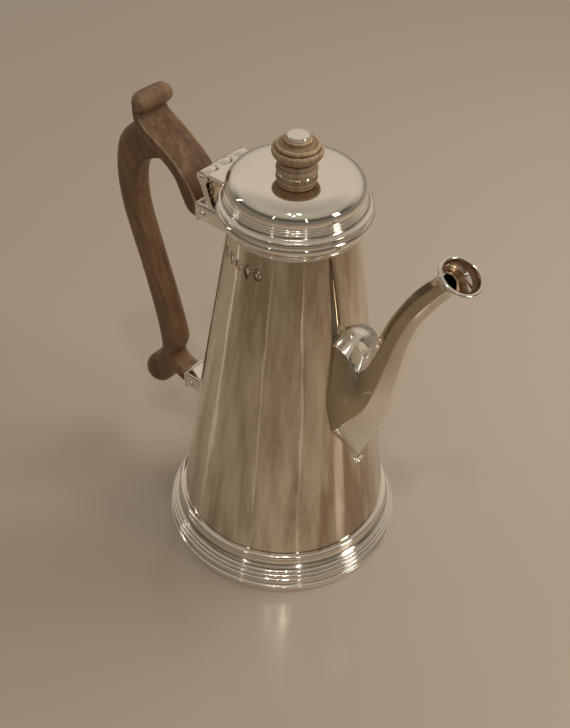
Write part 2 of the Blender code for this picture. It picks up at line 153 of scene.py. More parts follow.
# %% Measure how the surface bends
def mark_wear(bm, reach=0.9, passes=2):
    """Keep on each vertex how hollow or how ridged the surface is there, from 0 to 1."""
    hollow = bm.verts.layers.float.new("hollow")
    arris = bm.verts.layers.float.new("arris")
    bm.normal_update()
    bm.verts.index_update()
    bend = []
    for vert in bm.verts:
        total = 0.0
        for edge in vert.link_edges:
            along = edge.other_vert(vert).co - vert.co
            total += 2 * along.dot(vert.normal) / max(along.length_squared, 1e-3)
        bend.append(min(1.5, max(-1.5, total / max(1, len(vert.link_edges)) * reach)))
    near = [[edge.other_vert(vert).index for edge in vert.link_edges] for vert in bm.verts]
    for _ in range(passes):
        bend = [(value + sum(bend[i] for i in others) / max(1, len(others))) / 2
                for value, others in zip(bend, near)]
    for vert in bm.verts:
        vert[hollow] = min(1.0, max(0.0, bend[vert.index]))
        vert[arris] = min(1.0, max(0.0, -bend[vert.index]))


# %% The last step of each piece
def finish_piece(name, bm, skin, body, nodes, crease=32, inner=None):
    """Store a bmesh drawn in millimetres as a placed piece that rides on a body.

    inner is (a second finish, a test of a face) for the faces that no cloth reaches.
    """
    mark_wear(bm)
    if inner:
        bm.normal_update()
        for face in bm.faces:
            face.material_index = int(inner[1](face))
    bmesh.ops.scale(bm, vec=(MM, MM, MM), verts=bm.verts)
    bmesh.ops.translate(bm, vec=(AXIS_X, 0, 0), verts=bm.verts)
    mesh = bpy.data.meshes.new(name)
    bm.to_mesh(mesh)
    bm.free()
    mesh.shade_smooth()
    mesh.set_sharp_from_angle(angle=math.radians(crease))
    mesh.materials.append(skin)
    if inner:
        mesh.materials.append(inner[0])
    piece = bpy.data.objects.new(name, mesh)
    bpy.context.scene.collection.objects.link(piece)
    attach(piece, body)
    if nodes:
        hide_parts(*nodes)
    print(f"{name}: {len(mesh.polygons)} faces")
    return piece


# %% Spin a profile
def faces_axis(face):
    """True for a face on the inside of a turned wall."""
    middle, normal = face.calc_center_median(), face.normal
    return middle.x * normal.x + middle.y * normal.y < -0.2 * math.hypot(middle.x, middle.y)


def spun(profile, turns=160, closed=True):
    """Spin a profile about the axis and close it. The faces end up pointing outwards."""
    bm = bmesh.new()
    verts = [bm.verts.new((point[0], 0.0, point[1])) for point in profile]
    edges = [bm.edges.new(pair) for pair in zip(verts, verts[1:])]
    if closed and profile[0][0] > 0:
        edges.append(bm.edges.new((verts[-1], verts[0])))
    bmesh.ops.spin(bm, geom=verts + edges, cent=(0, 0, 0), axis=(0, 0, 1), angle=math.tau,
                   steps=turns, use_merge=True)
    bmesh.ops.remove_doubles(bm, verts=bm.verts, dist=1e-4)
    bmesh.ops.dissolve_degenerate(bm, edges=bm.edges, dist=1e-4)
    bmesh.ops.recalc_face_normals(bm, faces=bm.faces)
    return bm


# %% Borrow a modifier for a bmesh
def lent_out(name, bm):
    """Put a bmesh in the scene as an object that a modifier can work on."""
    work = bpy.data.objects.new(name, bpy.data.meshes.new(name))
    bm.to_mesh(work.data)
    bm.free()
    bpy.context.scene.collection.objects.link(work)
    return work


def taken_back(work, helpers=()):
    """The bmesh that an object's modifiers leave. The object and its helpers are deleted."""
    bpy.context.view_layer.update()
    result = bmesh.new()
    seen = work.evaluated_get(bpy.context.evaluated_depsgraph_get())
    result.from_mesh(seen.to_mesh())
    seen.to_mesh_clear()
    for used in (work, *helpers):
        mesh = used.data
        bpy.data.objects.remove(used, do_unlink=True)
        bpy.data.meshes.remove(mesh)
    return result


def carve(bm, tools, operation="DIFFERENCE"):
    """Cut or join bmesh tools with a bmesh, one Boolean each, and return the result."""
    work = lent_out("work", bm)
    helpers = [lent_out(f"tool_{index}", tool) for index, tool in enumerate(tools)]
    for helper in helpers:
        step = work.modifiers.new(helper.name, "BOOLEAN")
        step.operation = operation
        step.solver = "EXACT"
        step.object = helper
    result = taken_back(work, helpers)
    bmesh.ops.remove_doubles(result, verts=result.verts, dist=1e-4)
    if not result.faces:
        raise RuntimeError("a Boolean step left nothing: its tools overlap")
    return result


# %% [markdown]
# ## Finishes: old silver
#
# Silver that is two or three centuries old is bright but never perfect. Planishing leaves long
# shallow waves that bend reflections, cloths leave hair-fine scratches, and a warm tarnish stays
# in the grooves. A single mirror shader would look like chrome plate.
#
# These effects are shared by every silver piece, so they are one node group that puts out a
# colour, a roughness and a height. The shader itself stays in each material.

# %% Node helpers
def add_node(tree, kind, values=None, **settings):
    """Add a node, set its properties, and fill its inputs by name or number."""
    node = tree.nodes.new(kind)
    for key, value in settings.items():
        setattr(node, key, value)
    for key, value in (values or {}).items():
        if isinstance(value, bpy.types.NodeSocket):
            tree.links.new(value, node.inputs[key])
        else:
            node.inputs[key].default_value = value
    return node


def calc(tree, operation, a, b=0.0, clamp=False):
    """One sum on sockets or numbers."""
    node = add_node(tree, "ShaderNodeMath", {0: a, 1: b}, operation=operation, use_clamp=clamp)
    return node.outputs[0]


def times(tree, a, b):
    return calc(tree, "MULTIPLY", a, b)


def remap(tree, value, low, high, to_low=0.0, to_high=1.0):
    """Carry the span low..high to to_low..to_high, and stop at its ends."""
    node = add_node(tree, "ShaderNodeMapRange", {0: value, 1: low, 2: high, 3: to_low, 4: to_high})
    return node.outputs[0]


def blend_colour(tree, amount, a, b):
    """Colour a where amount is 0, b where it is 1. A Mix node keeps its colours in 6 and 7."""
    return add_node(tree, "ShaderNodeMix", {0: amount, 6: a, 7: b}, data_type="RGBA").outputs[2]


def noise(tree, vector, scale, detail=2.0, roughness=0.5, distortion=0.0):
    node = add_node(tree, "ShaderNodeTexNoise", {"Vector": vector, "Scale": scale, "Detail": detail,
                                                 "Roughness": roughness, "Distortion": distortion})
    return node.outputs[0]


def stretch(tree, vector, scale, turn=(0.0, 0.0, 0.0)):
    """Turn and scale coordinates, which draws a pattern out where the scale is small."""
    node = add_node(tree, "ShaderNodeMapping", {"Vector": vector, "Rotation": turn, "Scale": scale})
    return node.outputs[0]


def new_group(name, inputs, outputs):
    """A shader node group with named sockets: {name: (type, default)}."""
    tree = bpy.data.node_groups.new(name, "ShaderNodeTree")
    for label, (kind, default) in inputs.items():
        socket = tree.interface.new_socket(label, in_out="INPUT", socket_type=kind)
        if default is not None:
            socket.default_value = default
    for label, kind in outputs.items():
        tree.interface.new_socket(label, in_out="OUTPUT", socket_type=kind)
    return tree, tree.nodes.new("NodeGroupInput"), tree.nodes.new("NodeGroupOutput")


# %% Scratches, tarnish and painted reflection streaks
STRAW, PAINTED_STREAK_BROWN, SOOT = (0.76, 0.62, 0.42, 1), (0.36, 0.27, 0.175, 1), (0.16, 0.105, 0.06, 1)


def hair_scratches(tree, place):
    """Fine polishing scratches in three directions, each a noise drawn out into hairs."""
    hairs = []
    for turn, squeeze in (((0.3, 0.2, 0.0), (1.0, 0.03, 1.0)),
                          ((0.0, 0.5, 0.9), (1.0, 1.0, 0.04)),
                          ((1.1, 0.0, 0.4), (0.04, 1.0, 1.0))):
        field = noise(tree, stretch(tree, place, squeeze, turn), 1500.0, 2.0, 0.6)
        hairs.append(remap(tree, field, 0.66, 0.74))
    return calc(tree, "MAXIMUM", calc(tree, "MAXIMUM", hairs[0], hairs[1]), hairs[2])


def caught_grime(tree, place, hollow, tarnish):
    """Dark tarnish that a cloth leaves in the grooves."""
    patchy = remap(tree, noise(tree, place, 260.0, 3.0), 0.25, 0.6, 0.5, 1.1)
    return times(tree, times(tree, hollow, tarnish), patchy)


def tarnish_film(tree, place, arris, tarnish):
    """A thin film in clouds, rubbed away on the ridges."""
    clouds = remap(tree, noise(tree, place, 42.0, 5.0, 0.62), 0.42, 0.72)
    film = times(tree, clouds, times(tree, tarnish, 0.22))
    return calc(tree, "SUBTRACT", film, times(tree, arris, 0.2), True)


def upright_streaks(tree, place, amount):
    """Fine and broad dark streaks that run up a wall: painted reflections of the room, as the cone
    of the body draws them.
    """
    fine = noise(tree, stretch(tree, place, (1, 1, 0.03)), 120.0, 4.0, 0.62, 0.2)
    broad = noise(tree, stretch(tree, place, (1, 1, 0.045)), 34.0, 2.0, 0.5, 0.2)
    both = calc(tree, "ADD", times(tree, fine, 0.55), times(tree, broad, 0.45))
    return times(tree, remap(tree, both, 0.43, 0.6), amount)


def hammer_waves(tree, place, wave, flute):
    """Shallow dents left by planishing, and flutes left by drawing the sheet upwards."""
    dents = noise(tree, stretch(tree, place, (1, 1, 0.55)), 26.0, 1.2, 0.4)
    flutes = noise(tree, stretch(tree, place, (1, 1, 0.06)), 75.0, 2.0, 0.5)
    return calc(tree, "ADD", times(tree, dents, wave), times(tree, flutes, flute))


# %% The silver group
def make_silver_group():
    tree, given, result = new_group(
        "old_silver",
        {"Place": ("NodeSocketVector", None), "Hollow": ("NodeSocketFloat", 0.0),
         "Arris": ("NodeSocketFloat", 0.0), "Bright": ("NodeSocketColor", (0.93, 0.9, 0.85, 1)),
         "Tarnish": ("NodeSocketFloat", 0.5), "Wave mm": ("NodeSocketFloat", 0.05),
         "Flute mm": ("NodeSocketFloat", 0.0), "Streak": ("NodeSocketFloat", 0.0),
         "Rubbed": ("NodeSocketFloat", 0.07)},
        {"Color": "NodeSocketColor", "Roughness": "NodeSocketFloat", "Height": "NodeSocketFloat"})
    place, hollow, arris, bright, tarnish, wave, flute, streak, rubbed = given.outputs[:9]
    scratch = hair_scratches(tree, place)
    grime = caught_grime(tree, place, hollow, tarnish)
    film = tarnish_film(tree, place, arris, tarnish)
    smears = noise(tree, stretch(tree, place, (1, 1, 0.35)), 130.0, 3.0, 0.55)
    colour = blend_colour(tree, film, bright, STRAW)
    # Painted reflection: dark brown streaks that run up the wall.
    colour = blend_colour(tree, upright_streaks(tree, place, streak), colour, PAINTED_STREAK_BROWN)
    colour = blend_colour(tree, calc(tree, "MINIMUM", grime, 0.85), colour, SOOT)
    rough = rubbed
    for mask, amount in ((remap(tree, smears, 0.45, 0.75), 0.035), (scratch, 0.07),
                         (grime, 0.3), (film, 0.12)):
        rough = calc(tree, "ADD", rough, times(tree, mask, amount), True)
    height = calc(tree, "SUBTRACT", hammer_waves(tree, place, wave, flute),
                  times(tree, scratch, 0.0012))
    for label, socket in (("Color", colour), ("Roughness", rough), ("Height", height)):
        tree.links.new(socket, result.inputs[label])
    return tree


SILVER_GROUP = make_silver_group()
print("silver group:", len(SILVER_GROUP.nodes), "nodes")


# %% A material round a group
def finish_with_group(name, group, values, metallic, coat=0.0, painted_flank_reflection=None):
    """A material whose group drives colour, roughness and a bump in millimetres.

    The last argument is (a colour, the darker colour painted as a reflection on the faces that a
    piece's mask value marks as sideways).
    """
    skin = bpy.data.materials.new(name)
    skin.use_nodes = True
    tree = skin.node_tree
    shader = tree.nodes["Principled BSDF"]
    where = add_node(tree, "ShaderNodeTexCoord")
    place = add_node(tree, "ShaderNodeMapping", {"Vector": where.outputs["Object"],
                                                 "Location": (-AXIS_X, 0.0, 0.0)})
    used = add_node(tree, "ShaderNodeGroup", node_tree=group)
    tree.links.new(place.outputs[0], used.inputs["Place"])
    for label, kept in (("Hollow", "hollow"), ("Arris", "arris")):
        value = add_node(tree, "ShaderNodeAttribute", attribute_name=kept)
        tree.links.new(value.outputs["Fac"], used.inputs[label])
    for label, value in values.items():
        used.inputs[label].default_value = value
    # Painted reflection: faces that look sideways get a darker silver, as if they mirrored a dark
    # floor.
    if painted_flank_reflection:
        flank_reflection_mask = add_node(tree, "ShaderNodeAttribute", attribute_name="flank_reflection_mask").outputs["Fac"]
        tree.links.new(blend_colour(tree, flank_reflection_mask, *painted_flank_reflection), used.inputs["Bright"])
    bump = add_node(tree, "ShaderNodeBump", {"Strength": 1.0, "Distance": MM,
                                             "Height": used.outputs["Height"]})
    shader.inputs["Metallic"].default_value = metallic
    shader.inputs["Coat Weight"].default_value = coat
    shader.inputs["Coat Roughness"].default_value = 0.25
    tree.links.new(used.outputs["Color"], shader.inputs["Base Color"])
    tree.links.new(used.outputs["Roughness"], shader.inputs["Roughness"])
    tree.links.new(bump.outputs[0], shader.inputs["Normal"])
    return skin


# %% The silver finishes
# The second colour is a darker silver painted on the spout's flanks as a reflection of a dark
# floor.
WARM_SILVER, PAINTED_FLANK_REFLECTION = (0.93, 0.885, 0.81, 1), (0.46, 0.38, 0.27, 1)
silver_sheet = finish_with_group("silver_sheet", SILVER_GROUP, {
    "Bright": WARM_SILVER, "Tarnish": 0.55, "Wave mm": 0.16, "Rubbed": 0.05}, 1.0)
# The body's colour is darker and warmer than the other silver: partly tarnish, partly a painted
# reflection of darker, browner surroundings than the pale floor gives. Its upright streaks are
# painted reflections.
silver_body = finish_with_group("silver_body", SILVER_GROUP, {
    "Bright": (0.82, 0.745, 0.63, 1), "Tarnish": 0.7, "Wave mm": 0.5, "Flute mm": 0.45,
    "Streak": 0.8, "Rubbed": 0.055}, 1.0)
silver_cast = finish_with_group("silver_cast", SILVER_GROUP, {
    "Bright": WARM_SILVER, "Tarnish": 0.9, "Wave mm": 0.04, "Rubbed": 0.07}, 1.0)
# Its sideways faces are painted in the darker silver, a painted reflection of a dark floor.
silver_spout = finish_with_group("silver_spout", SILVER_GROUP, {
    "Tarnish": 0.9, "Wave mm": 0.25, "Rubbed": 0.06}, 1.0, painted_flank_reflection=(WARM_SILVER, PAINTED_FLANK_REFLECTION))
silver_inside = finish_with_group("silver_inside", SILVER_GROUP, {
    "Bright": (0.44, 0.31, 0.2, 1), "Tarnish": 1.6, "Wave mm": 0.2, "Rubbed": 0.22}, 1.0)
print("silver finishes:", [skin.name for skin in bpy.data.materials if "silver" in skin.name])

# %% [markdown]
# ## Finishes: fruitwood
#
# Wood is used because it does not carry the heat of the coffee. The handle is sawn and carved
# from one plank, so its grain runs straight through the plank and not round the curve: one
# stretched noise, turned to lie along the plank, gives the fibres. Handling has left the ridges
# pale and dry, and the same lighter colour on the ridges also stands as a painted highlight
# along the arrises; dirt darkens the hollows. The knob is the same wood, drier and lighter.

# %% Grain, wear and dirt, with painted highlights on the ridges
PORE, DIRT = (0.03, 0.016, 0.009, 1), (0.022, 0.012, 0.007, 1)


def make_wood_group():
    tree, given, result = new_group(
        "carved_wood",
        {"Place": ("NodeSocketVector", None), "Hollow": ("NodeSocketFloat", 0.0),
         "Arris": ("NodeSocketFloat", 0.0), "Heart": ("NodeSocketColor", (0.085, 0.04, 0.017, 1)),
         "Pale": ("NodeSocketColor", (0.275, 0.145, 0.064, 1)),
         "Edge wear and highlight": ("NodeSocketColor", (0.45, 0.32, 0.19, 1)), "Tilt": ("NodeSocketFloat", 0.0)},
        {"Color": "NodeSocketColor", "Roughness": "NodeSocketFloat", "Height": "NodeSocketFloat"})
    place, hollow, arris, heart, pale, edge_wear_and_highlight_colour, tilt = given.outputs[:7]
    lean = add_node(tree, "ShaderNodeCombineXYZ", {"Y": tilt})
    place = add_node(tree, "ShaderNodeVectorRotate", {"Vector": place, "Rotation": lean.outputs[0]},
                     rotation_type="EULER_XYZ").outputs[0]
    figure = noise(tree, stretch(tree, place, (1, 1, 0.12)), 70.0, 3.0, 0.55, 0.6)
    fibre = noise(tree, stretch(tree, place, (1, 1, 0.045)), 620.0, 4.0, 0.6)
    pores = noise(tree, stretch(tree, place, (1, 1, 0.06)), 1700.0, 2.0, 0.5)
    pores = remap(tree, pores, 0.63, 0.7)
    blotch = remap(tree, noise(tree, place, 55.0, 4.0, 0.6), 0.35, 0.7, 0.0, 0.4)
    tone = calc(tree, "ADD", times(tree, figure, 0.75), times(tree, fibre, 0.55))
    frayed = remap(tree, fibre, 0.3, 0.65, 0.45, 1.25)
    # Lighter ridges: partly wear, partly a painted highlight along the arrises.
    edge_wear_and_highlight = calc(tree, "MULTIPLY", arris, frayed, True)
    dirt = calc(tree, "MULTIPLY", hollow, 0.85, True)
    colour = blend_colour(tree, remap(tree, tone, 0.5, 0.8), heart, pale)
    for mask, over in ((times(tree, pores, 0.55), PORE), (blotch, heart), (edge_wear_and_highlight, edge_wear_and_highlight_colour),
                       (dirt, DIRT)):
        colour = blend_colour(tree, mask, colour, over)
    rough = remap(tree, fibre, 0.3, 0.7, 0.4, 0.56)
    rough = calc(tree, "ADD", rough, times(tree, edge_wear_and_highlight, 0.15), True)
    height = calc(tree, "SUBTRACT", times(tree, fibre, 0.075), times(tree, pores, 0.03))
    height = calc(tree, "ADD", height, times(tree, figure, 0.06))
    for label, socket in (("Color", colour), ("Roughness", rough), ("Height", height)):
        tree.links.new(socket, result.inputs[label])
    return tree


# %% The wood finishes
WOOD_GROUP = make_wood_group()
PLANK_LEAN = math.radians(24)     # the plank's grain leans towards the thumb piece
handle_wood = finish_with_group("handle_wood", WOOD_GROUP, {"Tilt": PLANK_LEAN}, 0.0, coat=0.12)
knob_wood = finish_with_group("knob_wood", WOOD_GROUP, {
    "Heart": (0.2, 0.115, 0.056, 1), "Pale": (0.43, 0.28, 0.15, 1),
    "Edge wear and highlight": (0.6, 0.46, 0.3, 1)}, 0.0)
print("wood finishes:", handle_wood.name, knob_wood.name)

# %% [markdown]
# ## The body
#
# The body is a cone of sheet silver, seamed and soldered up its back. A cone primitive with a
# Solidify modifier would give the same outline. A spun profile is used instead, because it gives
# both walls at once and has rows all the way up, so that the punches struck below the rim and
# the strainer holes behind the spout are cut in small faces and leave the reflections alone.
#
# The punches are plain generic shapes, each with a simple raised device.

# %% Spin the body sheet
SHEET = 1.2


def body_profile(rows=70):
    outer = []
    for k in range(rows + 1):
        z = mix(BODY_TOP, body_low.z, k / rows)
        outer.append((body_radius(z), z))
    inner = [(radius - SHEET, z) for radius, z in reversed(outer[::2])]
    return outer + inner


# %% Tools for the punches and the strainer
PUNCH_Z = 163.2
PUNCH_FIRST, PUNCH_LAST = math.radians(-121), math.radians(-80)
PUNCH_DEPTH = 0.45
PUNCH_SHAPES = [      # sides, width, height of a shield, oval, clipped square, lozenge, oblong
    (5, 4.4, 5.4), (24, 4.0, 5.4), (8, 4.5, 5.0), (4, 4.4, 7.4), (6, 4.5, 6.2)]


def punch_places():
    """One turning and shifting matrix for each punch, from the pot's axis to the wall."""
    lean = Matrix.Rotation(-math.atan(TAPER), 4, "Y")
    for k in range(len(PUNCH_SHAPES)):
        angle = mix(PUNCH_FIRST, PUNCH_LAST, k / (len(PUNCH_SHAPES) - 1))
        z = PUNCH_Z + 0.4 * math.sin(9 * angle)
        out = Matrix.Translation((body_radius(z), 0, z)) @ lean
        yield Matrix.Rotation(angle, 4, "Z") @ out @ Matrix.Rotation(math.pi / 2, 4, "Y")


def punch_tool():
    bm = bmesh.new()
    for place, (sides, width, height) in zip(punch_places(), PUNCH_SHAPES):
        size = Matrix.Diagonal((height / 2, width / 2, 1.0, 1.0))
        bmesh.ops.create_cone(bm, cap_ends=True, segments=sides, radius1=1.0, radius2=1.08,
                              depth=2 * PUNCH_DEPTH, matrix=place @ size)
    return bm


def strainer_tool():
    """Thirteen small holes in staggered rows, where the spout joins."""
    bm = bmesh.new()
    for row in range(5):
        columns = 3 if row % 2 == 0 else 2
        for column in range(columns):
            y = (column - (columns - 1) / 2) * 5.5
            place = Matrix.Translation((40, y, 84 + row * 8)) @ Matrix.Rotation(math.pi / 2, 4, "Y")
            bmesh.ops.create_cone(bm, cap_ends=True, segments=16, radius1=1.5, radius2=1.5,
                                  depth=20, matrix=place)
    return bm


body = carve(spun(body_profile(), 192), [punch_tool(), strainer_tool()])
finish_piece("body_sheet", body, silver_body, "pot", ["body_shell"],
             inner=(silver_inside, faces_axis))

# %% Raised devices in the punches
def devices():
    """Three pellets or a small cross, standing on the floor of each punch."""
    bm = bmesh.new()
    for index, place in enumerate(punch_places()):
        floor = place @ Matrix.Translation((0, 0, -PUNCH_DEPTH + 0.03))
        if index % 2 == 0:
            for dx, dy in ((-1.2, 0.0), (0.6, 0.85), (0.6, -0.85)):
                at = floor @ Matrix.Translation((dx, dy, 0))
                at = at @ Matrix.Diagonal((0.75, 0.6, 0.3, 1))
                bmesh.ops.create_uvsphere(bm, u_segments=14, v_segments=8, radius=1.0, matrix=at)
        else:
            for length, width in ((1.8, 0.45), (0.5, 1.3)):
                at = floor @ Matrix.Diagonal((length, width, 0.3, 1))
                bmesh.ops.create_uvsphere(bm, u_segments=16, v_segments=8, radius=1.0, matrix=at)
    return bm


finish_piece("punch_devices", devices(), silver_cast, "pot", [])

# %% [markdown]
# ## The foot
#
# The foot is a drawn moulding soldered round the body: a bead, a hollow, three reeds and a plain
# plinth that takes the wear of the table. A bump texture could fake the reeds from a distance,
# but their outline shows at both sides of the foot. So each member is a real arc, because
# polished reeds show every flat, and the creases between the arcs stay sharp.

# %% Turn the foot moulding
def foot_profile():
    bead = arc(50.0, 17.35, 1.35, 95, -65, 10)
    cove = [(50.75, 15.75), (51.0, 14.9)] \
        + smooth_line([(51.0, 14.9), (51.2, 13.6), (52.3, 12.3)], 5)
    fillet = [(52.75, 12.25), (52.75, 11.75), (52.45, 11.6)]
    reeds = []
    for s, z in ((53.0, 10.45), (53.95, 8.5), (54.85, 6.55)):
        reeds += arc(s, z, 0.98, 78, -62, 9)
    plinth = [(54.95, 5.3), (55.1, 4.9)] + smooth_line([(55.1, 4.9), (55.35, 3.9), (56.1, 3.3)], 4)
    plinth += arc(FOOT_R - 0.35, 2.75, 0.35, 80, 0, 4) + arc(FOOT_R - 0.5, 0.5, 0.5, 0, -80, 5)
    inside = [(54.6, 0.0), (51.8, 0.0), (51.2, 0.5), (body_radius(2.4) - SEAM, 2.4)]
    top = [(body_radius(18.8) - SEAM, 18.8)]
    return top + bead + cove + fillet + reeds + plinth + inside


finish_piece("foot_moulding", spun(foot_profile(), 192), silver_cast, "pot", ["foot_ring"])

# %% [markdown]
# ## The base disc
#
# A disc is let into the foot and closes the body. It is seen only from below. A plain filled
# circle would do from above, but its edge is turned down here, as sheet is when it is soldered
# in, so that the underside has a shadow line round it.

# %% Turn the base disc
def base_profile():
    radius = body_radius(8.0) - SHEET + SEAM
    rolled = arc(radius - 3.2, 6.3, 2.6, 90, 10, 6)
    return [(0, 8.6)] + [(radius - 4.2, 8.9)] + rolled + [(radius, 5.8), (radius, 7.0)] \
        + [(radius - 3.0, 9.8), (0, 9.8)]


finish_piece("base_disc", spun(base_profile()[::-1], 128), silver_sheet, "pot", ["base_plate"])

# %% [markdown]
# ## The mouth moulding
#
# A heavy wire is shaped and soldered round the mouth. It stiffens the sheet, and the lid rests
# on it. It could be a bevelled curve, but a spun profile lets the full torus, the small step
# above it and the hollow that dies into the body meet in true creases.

# %% Turn the mouth moulding
def mouth_profile():
    top = [(body_radius(BODY_TOP) - SHEET, BODY_TOP), (30.6, BODY_TOP),
           (31.05, 181.6), (31.2, 181.2)]
    torus = arc(29.9, 179.3, 2.5, 45, -58, 14)
    hollow = smooth_line([(31.0, 176.9), (30.3, 176.5), (29.4, 175.5), (28.9, 174.4)], 4)
    bead = arc(28.2, 173.6, 0.75, 60, -80, 6)
    return top + torus + hollow + bead + [(28.0, 172.4), (body_radius(172) - SEAM, 172.0)]


finish_piece("mouth_moulding", spun(mouth_profile(), 176), silver_cast, "pot", ["rim_moulding"])

# %% [markdown]
# ## The spout
#
# A faceted swan-neck spout is cast in two halves and soldered. Its root is shaped like a shield
# and its neck is an even octagon, so each section is one list of corners, blended from root to
# neck. Corners are cut with a short curve, which leaves the fine bright lines that polished
# edges show. One ring is extruded through all the sections, outside first and then back down
# the inside, so the wall is one closed shell. Last, its root is trimmed to the cone of the body.
#
# The flanks between the keel and the back are painted darker than the keel and the back, as a
# painted reflection of a dark floor that the pale floor does not give. That needs a value that
# changes at the facets' edges, so it is kept on the face corners and not the vertices.

# %% Stations and corners of the spout
STATIONS = [     # keel point, back point, half width, change from root to neck
    (39.4, 59.6, 27.0, 131.0, 15.8, 0.0), (43.2, 65.2, 33.2, 132.4, 15.8, 0.0),
    (47.0, 76.6, 38.2, 131.6, 15.0, 0.1), (51.8, 88.0, 41.2, 127.8, 13.2, 0.25),
    (55.3, 98.0, 42.8, 126.6, 11.3, 0.45), (57.6, 110.0, 43.8, 127.8, 9.5, 0.7),
    (59.2, 121.0, 45.2, 131.2, 8.2, 0.9), (60.6, 131.0, 47.1, 136.6, 7.0, 1.0),
    (61.9, 140.6, 49.9, 144.4, 6.2, 1.0), (63.6, 147.6, 52.7, 152.2, 5.8, 1.0),
    (66.4, 156.5, 57.2, 161.8, 5.3, 1.0), (71.0, 165.2, 62.3, 171.0, 5.1, 1.0),
    (76.0, 173.4, 68.3, 179.2, 4.9, 1.0), (78.4, 177.2, 71.2, 182.8, 4.75, 1.0)]
ROOT_CORNERS = [(1.0, 0.3), (0.93, 0.66), (0.15, 1.0), (-0.28, 0.92), (-1.0, 0.08)]
NECK_CORNERS = [(1.0, 0.42), (0.42, 1.0), (0.04, 1.0), (-0.34, 1.0), (-1.0, 0.42)]
CORNER_CUT = [0.5, 0.5, 5.0, 0.45, 0.45]     # how far each corner's curve reaches
CROWN_CUT = 4.0
ROOT_CROWN = 0.05                            # how far the crown of the root stands proud
SPOUT_WALL = 1.1


def section(station, inset):
    """The corners of one section in its own plane: (along the back, sideways) in millimetres."""
    keel, back = Vector(station[0:2]), Vector(station[2:4])
    half_width, change = station[4] - inset, min(1.0, max(0.0, station[5]))
    reach = (back - keel).length / 2 - inset
    side = [(mix(a[0], b[0], change) * reach, mix(a[1], b[1], change) * half_width)
            for a, b in zip(ROOT_CORNERS, NECK_CORNERS)]
    crown = ((1.0 + ROOT_CROWN * (1.0 - change)) * reach, 0.0)
    return [crown] + side + [(u, -v) for u, v in reversed(side)]


def cut_corners(corners, steps=4):
    """Replace each corner with a short curve; the crown stays a broad one."""
    cuts = [CROWN_CUT] + CORNER_CUT + CORNER_CUT[::-1]
    ring = []
    for k, corner in enumerate(corners):
        here = Vector(corner)
        before, after = Vector(corners[k - 1]), Vector(corners[(k + 1) % len(corners)])
        first = here + (before - here) * min(0.45, cuts[k] / (before - here).length)
        last = here + (after - here) * min(0.45, cuts[k] / (after - here).length)
        for step in range(steps + 1):
            t = step / steps
            ring.append(first * (1 - t) ** 2 + here * 2 * t * (1 - t) + last * t ** 2)
    return ring


def section_ring(station, inset):
    """One section as points in space, with its corners cut."""
    keel, back = Vector(station[0:2]), Vector(station[2:4])
    middle, rise = (keel + back) / 2, (back - keel).normalized()
    points = []
    for u, v in cut_corners(section(station, inset)):
        spot = middle + rise * u
        points.append(Vector((spot.x, v, spot.y)))
    return points


# %% Extrude a ring through a list of sections
def lofted(rings, close=True):
    """Extrude the first ring through the others. A closed loft is welded to its first ring."""
    bm = bmesh.new()
    verts = [bm.verts.new(point) for point in rings[0]]
    edges = [bm.edges.new(pair) for pair in zip(verts, verts[1:] + verts[:1])]
    if not close:
        bm.faces.new(verts)
    for ring in rings[1:] + (rings[:1] if close else []):
        grown = bmesh.ops.extrude_edge_only(bm, edges=edges)["geom"]
        fresh = {v for v in grown if isinstance(v, bmesh.types.BMVert)}
        following = []
        for old, point in zip(verts, ring):
            partner = next(e.other_vert(old) for e in old.link_edges if e.other_vert(old) in fresh)
            partner.co = point
            following.append(partner)
        verts = following
        edges = [bm.edges.get(pair) for pair in zip(verts, verts[1:] + verts[:1])]
    if not close:
        bm.faces.new(verts)
    bmesh.ops.remove_doubles(bm, verts=bm.verts, dist=1e-4)
    bmesh.ops.recalc_face_normals(bm, faces=bm.faces)
    return bm


def body_cone(growth):
    """A solid cone that follows the body's outer wall, to trim what meets it."""
    top, foot = 200.0, -5.0
    return spun([(0, top), (body_radius(top) + growth, top), (body_radius(foot) + growth, foot),
                 (0, foot)], 192)


# %% Cast the spout, and mark its flanks for a painted dark reflection
def mark_flanks(mesh, start=0.62, full=0.88):
    """Keep on each face corner how squarely it faces sideways, from 0 to 1."""
    flank_reflection_mask = mesh.attributes.new("flank_reflection_mask", "FLOAT", "CORNER")
    for kept, normal in zip(flank_reflection_mask.data, mesh.corner_normals):
        kept.value = min(1.0, max(0.0, (abs(normal.vector.y) - start) / (full - start)))


smooth_stations = smooth_line(STATIONS, 5)
outside = [section_ring(station, 0.0) for station in smooth_stations]
inside = [section_ring(station, SPOUT_WALL) for station in smooth_stations]
spout = carve(lofted(outside + inside[::-1]), [body_cone(-SEAM)])
piece = finish_piece("spout_cast", spout, silver_spout, "pot", ["spout_shell"], crease=24)
mark_flanks(piece.data)

# %% [markdown]
# ## The mouth of the spout
#
# The neck opens into a short trumpet with a rolled edge. It could be spun about one straight
# axis, but the real axis turns as the trumpet flares, so that the mouth faces almost straight
# up. So it is lofted through circles that tilt a little more each time, down into the throat.

